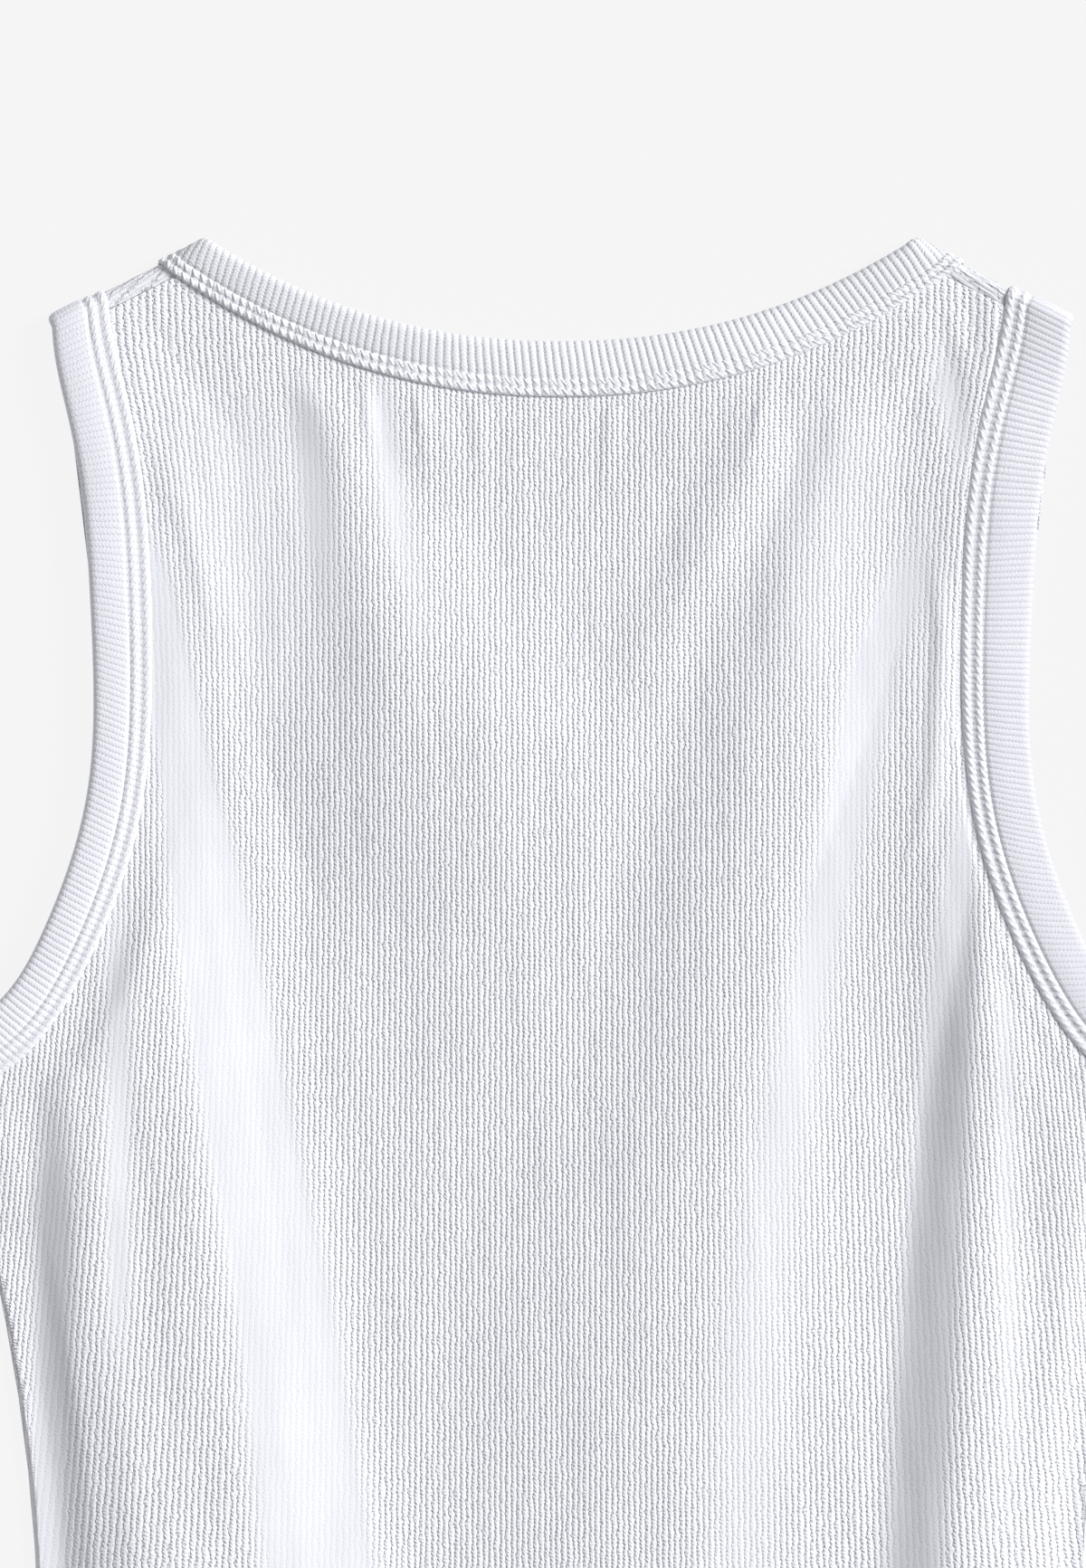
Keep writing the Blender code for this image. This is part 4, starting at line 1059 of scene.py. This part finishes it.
def hem_height(depth):
    """A step at the top of the band, a groove along each row of stitches, and a quarter round at the edge."""
    high = HEM_RAISE * smooth((depth - HEM_TOP + HEM_STEP) / HEM_STEP)
    for row in HEM_ROWS:
        high -= GROOVE_DEPTH * np.exp(-(((depth - HEM_TOP - row) / GROOVE_WIDTH) ** 2))
    to_edge = np.clip((depth - BODY_LENGTH + HEM_ROUNDING) / HEM_ROUNDING, 0, 1)
    return high - HEM_EDGE_DROP * (1 - np.sqrt(1 - to_edge**2))


# Where the hem needs points: at its step, over each groove and round its last edge
hem_depths = np.concatenate(
    [HEM_TOP + np.array([-1.6, -1.0, -0.3, 0.2])]
    + [HEM_TOP + row + np.array([-1.2, -0.6, 0, 0.6, 1.2]) for row in HEM_ROWS]
    + [BODY_LENGTH - np.array([8, 4, 1.6, 1.0, 0.5, 0.2, 0])]
)

# %% Back
back_rows = [np.arange(12.0, 130.0, 3.6), np.arange(130.0, 330.0, 5.6), np.arange(330.0, HEM_TOP - 3, 7.0)]
back_depths = np.concatenate([*back_rows, hem_depths])
SWELL = 0.5
SWELL_START = 0.35
SWELL_EASE = 0.3
SWELL_WIDTH = 9.0
SEAM_CLEAR = 0.12
SEAM_INSET = PILE + SHOULDER_SEAM + SEAM_CLEAR
SEAM_ROLL = 0.12


def swell(points):
    """The panel stands a little proud along the right armhole binding, where its stitches gather it."""
    beyond = distance_to(on_right(points), ARM_EDGE["back"]) - BINDING["right"] - SWELL_START
    high = np.where(points[:, 0] > 0, SWELL, 0.0)
    return high * smooth((beyond + SWELL_EASE) / SWELL_EASE) * (1 - smooth(beyond / SWELL_WIDTH))


def back_outside(points, phase):
    """One wall over the inner side, with creases, hem and ribs, rolled down at the shoulder seam."""
    ribbed = RIB_RISE - RIB_DEPTH * (1 - tautness(points)) * (1 - rib_profile(phase))
    rolled = SEAM_ROLL * smooth(1 - inside_shoulder(points, SEAM_INSET))
    cloth = back_height(points) + WALL + creases(points) + swell(points)
    return cloth + hem_height(points[:, 1]) + ribbed - rolled


points, faces, uv = panel_sheet("back", back_depths, SEAM_INSET, back_outside, back_height, +1)
back_cloth = make_piece("back_cloth", to_world(points), faces, uv, body_knit, taut=tautness(points[:, :2]))

# %% [markdown]
# ## The front
#
# The front lies face down on the surface. Its ribs are pressed flat there, so they are furrows cut into the
# underside rather than cords standing out of it.
#
# At each shoulder it turns up round the fold and shows as a narrow band before the seam. Its ribs are pulled
# almost along the fold there, so the phase of the ribs grows quickly round the fold and slowly along it.

# %% Front
front_depths = np.concatenate([np.arange(20.0, 240.0, 11.0), np.arange(240.0, HEM_TOP - 8, 20.0), hem_depths])


def front_outside(points, phase):
    """The underside, with its furrows cut upwards, and the hem's grooves."""
    furrows = RIB_DEPTH * (1 - rib_profile(phase))
    return front_height(points) + furrows + np.maximum(-hem_height(points[:, 1]), 0)


def front_inside(points):
    """One wall above the underside."""
    return front_height(points) + WALL


front_sheet = panel_sheet("front", front_depths, PILE, front_outside, front_inside, -1)

# %% The band that turns over each shoulder
BAND_COLUMNS = 150
BAND_TURN = np.radians(np.linspace(-90, 90, 41))
BAND_FLAT = np.arange(1, 11) * 0.25
BAND_PITCH = 1.3
BAND_RUN = 8.0
BAND_THINNER = 0.15
BAND_TAUT = 0.15
# Painted shade on the right shoulder's band, which faces the lamp
BAND_PAINTED_SHADE = 0.5
BAND_RIB_DEPTH = 0.26
BAND_SEAM_EASE = 0.8


def shoulder_band(mirror):
    """A closed strip: along the fold, and round it from the surface up over the back to the seam."""
    ends = []
    for name, end in (("neck", -1), ("right", 0)):
        ends.append(clipped(STRIPS[name]["front"].line(EDGE_SHARES, PANEL_EDGE), inside_shoulder)[end])
    line = ends[0] + (ends[1] - ends[0]) * np.linspace(0, 1, BAND_COLUMNS)[:, None]
    travelled = PANEL[1] * np.append(BAND_TURN - BAND_TURN[0], np.full(len(BAND_FLAT), math.pi))
    back_in = np.append(np.zeros(len(BAND_TURN)), BAND_FLAT)
    travelled += back_in
    angle = np.append(BAND_TURN, np.full(len(BAND_FLAT), math.pi / 2))
    phase = travelled / BAND_PITCH - line[:, :1] / BAND_RUN
    roll = SEAM_ROLL * smooth((back_in - SHOULDER_SEAM + BAND_SEAM_EASE) / BAND_SEAM_EASE)
    outside = PANEL[1] - BAND_RIB_DEPTH * (1 - rib_profile(phase)) - roll
    sides = []
    for away in (outside, np.full(phase.shape, PANEL[0] + BAND_THINNER)):
        out = away * np.cos(angle) - back_in
        plan = line[:, None, :] + SHOULDER_OUT * out[..., None]
        sides.append(np.concatenate([plan, (PILE + away * np.sin(angle))[..., None]], axis=2))
    ring = np.concatenate([sides[0], sides[1][:, ::-1]], axis=1)
    ring[..., 0] *= mirror
    rows, columns = ring.shape[:2]
    low = np.arange(columns // 2 - 1)
    high = columns - 1 - low
    cap = np.column_stack([low, high, high - 1, low + 1])
    quads = [grid_faces(rows, columns, closed_columns=True), cap, cap[:, ::-1] + (rows - 1) * columns]
    uv = np.column_stack([np.repeat(phase, 2, axis=1).ravel(), np.tile(travelled / COURSE, 2 * rows)])
    return ring.reshape(-1, 3), np.concatenate([as_triangles(some) for some in quads]), uv


def outward(points, faces):
    """The faces, turned round if the closed shell is inside out."""
    return faces if volume_within(to_world(points), faces) > 0 else faces[:, ::-1]


shells = [front_sheet, shoulder_band(1), shoulder_band(-1)]
starts = np.cumsum([0] + [len(points) for points, _, _ in shells])
faces = np.concatenate([outward(shell[0], shell[1]) + start for shell, start in zip(shells, starts)])
points, uv = (np.vstack([shell[k] for shell in shells]) for k in (0, 2))
on_band = np.arange(len(points)) >= starts[1]
band_values = {"taut": on_band * BAND_TAUT, "opened": on_band * (points[:, 0] > 0) * BAND_PAINTED_SHADE}
front_cloth = make_piece("front_cloth", to_world(points), faces, uv, body_knit, **band_values)

# %% [markdown]
# ## The bindings
#
# Each is a strip of the same rib, cut across its cords, folded in half round the panel's raw edge and
# stitched down, so its ribs run square to the edge. The section, from the inner edge outwards, is: a roll
# that carries a row of stitches, a sunk line beside it, a second roll and row with its own sunk line, the
# plain ribbed width, the rounded fold, and the plain leaf inside.
#
# The strip is carried round its ring as a grid: round the ring, six points to a rib, and across the section.
# A point is placed by how far round it is, how far in from the outer edge, and how far from the middle of
# the pile of layers, which makes the turn round a fold the same motion as lying flat.
#
# Where the cloth was pulled along while it was sewn, the ribs lean: a point further in is also further round.

# %% A ring to carry a strip round
# How far a rib leans along the ring for each millimetre inwards, at shares of the back's length
LEAN = {
    "neck": (
        (0.0, 0.7), (0.06, 0.6), (0.2, 0.4), (0.4, 0.28),
        (0.5, 0.12), (0.7, -0.1), (0.86, -0.15), (1.0, -0.45),
    ),
    "left": ((0.0, 0.0), (0.45, 0.0), (0.8, -0.4), (1.0, -0.5)),
    "right": ((0.0, 0.0), (0.3, 0.0), (0.7, -0.85), (1.0, -0.9)),
}
LEAN_FADE = 60.0
# The four parts of a ring are the back, a fold, the front and a fold. Each pair is the value at the start of
# a part and its change along it: for the turn in half circles, for the way over to the front, and for the
# way along both halves.
RING_PARTS = np.array(
    [
        [(0.5, 0), (0.5, -1), (-0.5, 0), (-0.5, 1)],
        [(0, 0), (0, 1), (1, 0), (1, -1)],
        [(0, 1), (1, 0), (1, -1), (0, 0)],
    ]
)


class Ring:
    """Places points of a binding that runs over the back, round a fold, along the front and round a fold."""

    def __init__(self, name):
        self.halves = STRIPS[name]
        self.outs = (SHOULDER_OUT, SHOULDER_OUT * MIRROR) if name == "neck" else (SIDE_OUT, SHOULDER_OUT)
        turn = math.pi * PILE
        self.lengths = np.array([self.halves["back"].length, turn, self.halves["front"].length, turn])
        self.ribs = round(self.lengths.sum() / BINDING_PITCH[name])
        self.mirror = -1.0 if name == "left" else 1.0
        share, lean = np.array(LEAN[name]).T
        turned = self.lengths[:2].sum()
        stations = [*(share * self.lengths[0]), turned, turned + LEAN_FADE]
        stations += [self.lengths[:3].sum() - LEAN_FADE, self.lengths[:3].sum(), self.lengths.sum()]
        self.lean = np.array([stations, [*lean, lean[-1], 0, 0, lean[0], lean[0]]])
        share, rise = np.array(BINDING_RISE[name]).T
        self.rise = np.array([[*(share * self.lengths[0]), self.lengths.sum()], [*rise, rise[0]]])

    def place(self, phase, reach, away):
        """World points for arrays of equal length: phase in ribs, reach and away in millimetres. With them,
        which way each faces: 1 up on the back, -1 down on the front."""
        at = np.mod(phase / self.ribs, 1.0) * self.lengths.sum()
        at = np.mod(at + np.interp(at, *self.lean) * reach, self.lengths.sum())
        ends = np.cumsum(self.lengths)
        part = np.minimum(np.searchsorted(ends, at, side="right"), 3)
        share = (at - (ends - self.lengths)[part]) / self.lengths[part]
        turn, front, on_half = RING_PARTS[:, part, 0] + RING_PARTS[:, part, 1] * share
        angle = math.pi * turn
        halves = zip(self.halves["back"].read(on_half), self.halves["front"].read(on_half))
        outer, inner = (one + (two - one) * front[:, None] for one, two in halves)
        plan = outer + normalised(inner - outer) * reach[:, None]
        high = PILE + away * np.sin(angle)
        on_back, on_front = part == 0, part == 2
        high[on_back] = back_height(plan[on_back]) + away[on_back] - PANEL[0]
        high[on_front] = front_height(plan[on_front]) + WALL - (away[on_front] - PANEL[0])
        out = np.array([(0.0, 0.0), self.outs[0], (0.0, 0.0), self.outs[1]])[part]
        plan = plan + out * (away * np.cos(angle))[:, None]
        plan[:, 0] *= self.mirror
        return to_world(np.column_stack([plan, high])), np.sin(angle)


RINGS = {name: Ring(name) for name in STRIPS}
for name, ring in RINGS.items():
    print(name, "ring:", round(ring.lengths.sum()), "mm round,", ring.ribs, "ribs")

# %% The strip cut across
TOP = OUTER_LEAF[1]
LEFT, UP, DOWN = math.pi / 2, 0.0, math.pi


def strip_section(width, rows, grooves, drop):
    """Rows of (reach, distance from the middle, rib, lean) round the folded strip, closed.

    rib says how much of the cords' relief the row has, and lean which way it goes: up, or out round the fold.
    drop is how much lower the stitched part lies than the rest.
    """
    outer_row, inner_row = width - rows[0], width - rows[1]
    outer_groove, inner_groove = width - grooves[0], width - grooves[1]
    plain_end = outer_groove - 1.4
    return np.array(
        [
            (width, OUTER_LEAF[0], 0.0, UP),
            (width + 0.05, TOP - 0.62 - drop * 0.8, 0.0, UP),
            (width - 0.12, TOP - 0.32 - drop, 0.05, UP),
            (width - 0.5, TOP - 0.08 - drop, 0.1, UP),
            (inner_row, TOP + 0.02 - drop, 0.25, UP),
            (inner_groove + 0.6, TOP - 0.10 - drop * 0.9, 0.5, UP),
            (inner_groove, TOP - 0.44 - drop * 0.7, 0.9, UP),
            (inner_groove - 0.6, TOP - 0.12 - drop * 0.6, 1.0, UP),
            (outer_row, TOP - drop * 0.4, 1.0, UP),
            (outer_groove + 0.55, TOP - 0.12 - drop * 0.3, 1.0, UP),
            (outer_groove, TOP - 0.44 - drop * 0.2, 1.0, UP),
            (outer_groove - 0.6, TOP - 0.08 - drop * 0.1, 1.0, UP),
            (plain_end, TOP + 0.03, 1.0, UP),
            (plain_end * 0.62, TOP + 0.10, 1.0, UP),
            (2.6, TOP + 0.04, 1.0, UP),
            (1.5, TOP - 0.10, 0.95, 0.3),
            (0.65, TOP - 0.50, 0.85, 0.8),
            (0.12, TOP - 1.15, 0.7, 1.2),
            (0.0, PILE / 2, 0.6, LEFT),
            (0.12, INNER_LEAF[0] + 1.15, 0.6, 1.9),
            (0.65, INNER_LEAF[0] + 0.5, 0.5, 2.4),
            (1.6, INNER_LEAF[0] + 0.05, 0.0, DOWN),
            (width - 1.6, INNER_LEAF[0], 0.0, DOWN),
            (width - 1.1, INNER_LEAF[0] + 0.2, 0.0, DOWN),
            (width - 1.0, INNER_LEAF[1] - 0.2, 0.0, DOWN),
            (width - 1.4, INNER_LEAF[1], 0.0, DOWN),
            (LAYER, INNER_LEAF[1], 0.0, UP),
            (LAYER, OUTER_LEAF[0], 0.0, UP),
        ]
    )


# %% The three bindings
POINTS_PER_BINDING_RIB = 6
# Painted shade on the folded edge of each binding, where it would stand too bright in the low lamp, and
# how far in from the edge it reaches, in millimetres
EDGE_PAINTED_SHADE = {"neck": 0.4, "left": 0.0, "right": 1.0}
EDGE_PAINTED_SHADE_REACH = 3.0
# Painted shade where a binding of the right half turns under at a fold and faces the lamp, and how quickly
# it grows there
UNDER_FOLD_PAINTED_SHADE = 1.5
# Painted shade across the width, at shares of the back's length, which darkens the tips of the neck binding
# and the start of the right armhole binding, and how much of it is left between the stitches
PAINTED_SHADE_ALONG = {
    "neck": ((0.0, 0.5), (0.3, 0.5), (0.48, 0.0), (0.8, 0.0), (0.92, 0.35), (1.0, 0.35)),
    "left": ((0.0, 0.0), (1.0, 0.0)),
    "right": ((0.0, 0.5), (0.05, 0.35), (0.12, 0.0), (1.0, 0.0)),
}
STITCHED_SHARE = 0.3


def make_binding(name, label, material):
    """The strip's section carried round its ring, with the cords standing out along each row's lean."""
    ring = RINGS[name]
    section = strip_section(BINDING[name], STITCH_ROWS[name], GROOVES[name], EDGE_DROP[name])
    stations, rows = ring.ribs * POINTS_PER_BINDING_RIB, len(section)
    reach, away, ribbed, lean = np.tile(section.T, stations)
    phase = np.arange(stations) / POINTS_PER_BINDING_RIB
    cords = np.repeat(phase, rows)
    _, facing = ring.place(phase, np.full(stations, 1.0), np.full(stations, TOP))
    sunk = np.repeat((1 - facing) / 2, rows)
    rise = np.interp(cords / ring.ribs * ring.lengths.sum(), *ring.rise)
    relief = rise * ribbed * (rib_profile(cords) - sunk)
    crown = np.maximum(away - TOP, 0) * sunk
    points, _ = ring.place(cords, reach - relief * np.sin(lean), away - crown + relief * np.cos(lean))
    quads = grid_faces(stations, rows, closed_rows=True, closed_columns=True)
    travelled = along(section[:, :2]) / COURSE
    row, column = np.divmod(np.arange(len(quads)), rows)
    u = np.column_stack([row, row, row + 1, row + 1]) / POINTS_PER_BINDING_RIB
    lap = np.append(travelled, travelled[-1] + 1)
    v = np.column_stack([lap[column], lap[column + 1], lap[column + 1], lap[column]])
    uv = np.stack([u, v], axis=-1).reshape(-1, 2)
    # Painted shade: on the folded edge, where the right half turns under, and along the listed stretches
    opened = np.clip(1 - reach / EDGE_PAINTED_SHADE_REACH, 0, 1) * EDGE_PAINTED_SHADE[name]
    under = np.maximum(opened, np.clip(UNDER_FOLD_PAINTED_SHADE * sunk, 0, 1))
    opened = np.where(points[:, 0] > 0, under, opened)
    once_round = ring.lengths.sum() / ring.lengths[0]
    dimmed = np.interp(cords / ring.ribs * once_round, *np.array(PAINTED_SHADE_ALONG[name]).T, period=once_round)
    dimmed = dimmed * np.where(reach < BINDING[name] - GROOVES[name][0], 1.0, STITCHED_SHARE)
    return make_piece(label, points, quads, uv, material, opened=np.maximum(opened, dimmed))


neck_band = make_binding("neck", "neck_band", neck_knit)
armhole_bands = {side: make_binding(side, "armhole_band_" + side, armhole_knit) for side in ("left", "right")}

# %% [markdown]
# ## The stitches
#
# A coverstitch shows on the outside as two rows of straight stitches. Each stitch dives into the needle
# hole at both ends and its thread is twisted, so it lies a little askew and catches the light as a small
# white bead: on its roll along a binding, and in its groove on the hem. One low capsule, with a few dozen
# faces, is repeated for each.

# %% One stitch
STITCH_SIDES = 6
STITCH_RINGS = np.array([(-1.0, 0.35), (-0.65, 0.85), (0.0, 1.0), (0.65, 0.85), (1.0, 0.35)])
STITCH_POLE = 1.12
THREAD_RADIUS = 0.3
# Half length, half width and slant in degrees of a stitch, and how far it is sunk in
STITCHES = {
    "neck": (1.1, 0.42, 42, -0.02),
    "left": (1.2, 0.42, 30, 0.14),
    "right": (1.25, 0.58, -28, 0.0),
    "hem": (1.1, 0.4, 20, 0.0),
}


def stitch_template():
    """Points (along, across, up) of a closed capsule of half length 1 and radius 1, its faces and its map."""
    side = np.arange(STITCH_SIDES)
    turn = np.tile(side / STITCH_SIDES * 2 * math.pi, len(STITCH_RINGS))
    place, radius = np.repeat(STITCH_RINGS, STITCH_SIDES, axis=0).T
    tube = np.column_stack([place, radius * np.cos(turn), radius * np.sin(turn)])
    points = np.vstack([tube, [(-STITCH_POLE, 0.0, 0.0), (STITCH_POLE, 0.0, 0.0)]])
    first_pole, last_pole = (np.full(STITCH_SIDES, len(tube) + k) for k in (0, 1))
    last = side + len(tube) - STITCH_SIDES
    faces = np.concatenate(
        [
            as_triangles(grid_faces(len(STITCH_RINGS), STITCH_SIDES, closed_columns=True)),
            np.column_stack([first_pole, np.roll(side, -1), side]),
            np.column_stack([last_pole, last, np.roll(last, -1)]),
        ]
    )
    return points, faces, np.column_stack([points[:, 0], np.append(turn, [0, 0]) / (2 * math.pi)])


def make_stitches(name, size, centres, run, across, up):
    """A stitch at each centre, in the frame of its run, across and up directions, in metres."""
    half_length, spread, slant, _ = size
    slant = math.radians(slant)
    points, faces, uv = stitch_template()
    scaled = points * np.array([half_length, spread, THREAD_RADIUS]) * MM
    askew = run * math.cos(slant) + across * math.sin(slant)
    aside = across * math.cos(slant) - run * math.sin(slant)
    placed = centres[:, None]
    for k, way in enumerate((askew, aside, up)):
        placed = placed + scaled[:, k, None] * way[:, None]
    count = len(centres)
    all_faces = (faces[None] + len(points) * np.arange(count)[:, None, None]).reshape(-1, 3)
    return make_piece(name, placed.reshape(-1, 3), all_faces, np.tile(uv, (count, 1)), thread)


# %% Stitches of the bindings
STITCH_PITCH = 2.5
# Directions are read between points this far apart, in ribs along the ring and in millimetres otherwise
SMALL_STEP = 0.2
# Share of the binding's drop at the outer and at the inner row
ROW_DROP = (0.4, 1.0)


def binding_stitches(name):
    """Stitches of even length along both rows, on their rolls, with directions read off the ring itself."""
    ring = RINGS[name]
    count = round(ring.lengths.sum() / STITCH_PITCH)
    phase = np.tile((np.arange(count) + 0.5) * ring.ribs / count, 2)
    reach = np.repeat(BINDING[name] - np.array(STITCH_ROWS[name]), count)
    seat = TOP - STITCHES[name][3] - EDGE_DROP[name] * np.repeat(ROW_DROP, count)
    _, facing = ring.place(phase, reach, seat)
    seat = seat - (1 - facing) / 2 * THREAD_RADIUS

    def around(onward=0.0, inward=0.0, upward=0.0):
        return ring.place(phase + onward, reach + inward, seat + upward)[0]

    centres = around()
    run = normalised(around(onward=SMALL_STEP) - around(onward=-SMALL_STEP))
    ways = (around(inward=SMALL_STEP) - around(inward=-SMALL_STEP), around(upward=SMALL_STEP) - centres)
    across, up_way = (normalised(way - run * (way * run).sum(1)[:, None]) for way in ways)
    label = "neck_threads" if name == "neck" else "armhole_threads_" + name
    return make_stitches(label, STITCHES[name], centres, run, across * ring.mirror, up_way)


binding_threads = {name: binding_stitches(name) for name in RINGS}

# %% Stitches of the hem
HEM_THREAD_RISE = 0.05
MID_RIB = 0.5


def hem_stitches():
    """Two rows on the back and two on the front, between the side folds."""
    centres, ups = [], []
    for row in HEM_ROWS:
        depth = HEM_TOP + row
        wide = side_x(depth) - THIN_PILE - STITCH_PITCH / 2
        x = np.arange(-wide, wide, STITCH_PITCH)
        plan = np.column_stack([x, np.full(len(x), depth)])
        high = back_outside(plan, np.full(len(x), MID_RIB)) + HEM_THREAD_RISE
        for height, up in ((high, 1.0), (np.full(len(x), THREAD_RADIUS), -1.0)):
            centres.append(np.column_stack([plan, height]))
            ups.append(np.full(len(x), up))
    places, ups = to_world(np.vstack(centres)), np.concatenate(ups)
    run, across, up_way = (np.tile(way, (len(places), 1)) for way in np.eye(3))
    return make_stitches("hem_threads", STITCHES["hem"], places, run, across, up_way * ups[:, None])


hem_threads = hem_stitches()

# %% [markdown]
# ## The pieces on the body
#
# The cloth can't bend at a joint, as the part has none, so every piece rides on the one body. The five cut
# pieces stand in for the five CAD solids, which are hidden. The area of each panel's plan is worked out
# from its own outline.

NODES = {back_cloth: "back_panel", front_cloth: "front_panel", neck_band: "neck_binding"}
NODES.update({armhole_bands[side]: "armhole_binding_" + side for side in armhole_bands})
for piece, node in NODES.items():
    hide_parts(node)
    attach(piece, "root")
    "body_rib" if piece in (back_cloth, front_cloth) else "binding_rib"
for piece in [*binding_threads.values(), hem_threads]:
    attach(piece, "root")
    "binding_rib" if piece != hem_threads else "body_rib"


def panel_area(panel):
    """Area of a panel's plan in square metres, from the depth where each rib starts and the width below."""
    half_width = panel_edges(panel)[1]
    x = np.arange(-UNDERARM[0], UNDERARM[0] + 1.0)
    depth = np.arange(0.5, BODY_LENGTH)
    start = np.maximum(np.where(np.abs(x) < NECK_POINT[0], neck_depth(x, panel), 0.0), 0.0)
    covered = (depth[None] > start[:, None]) & (np.abs(x)[:, None] < half_width(depth)[None])
    plan = np.column_stack([np.repeat(x, len(depth)), np.tile(depth, len(x))])
    covered &= inside_shoulder(plan, 0.0).reshape(covered.shape) > 0
    return covered.sum() * MM * MM


panel_area("front")
panel_area("back")
print("panels:", [round(panel_area(panel), 4) for panel in NECK_DROP], "square metres")
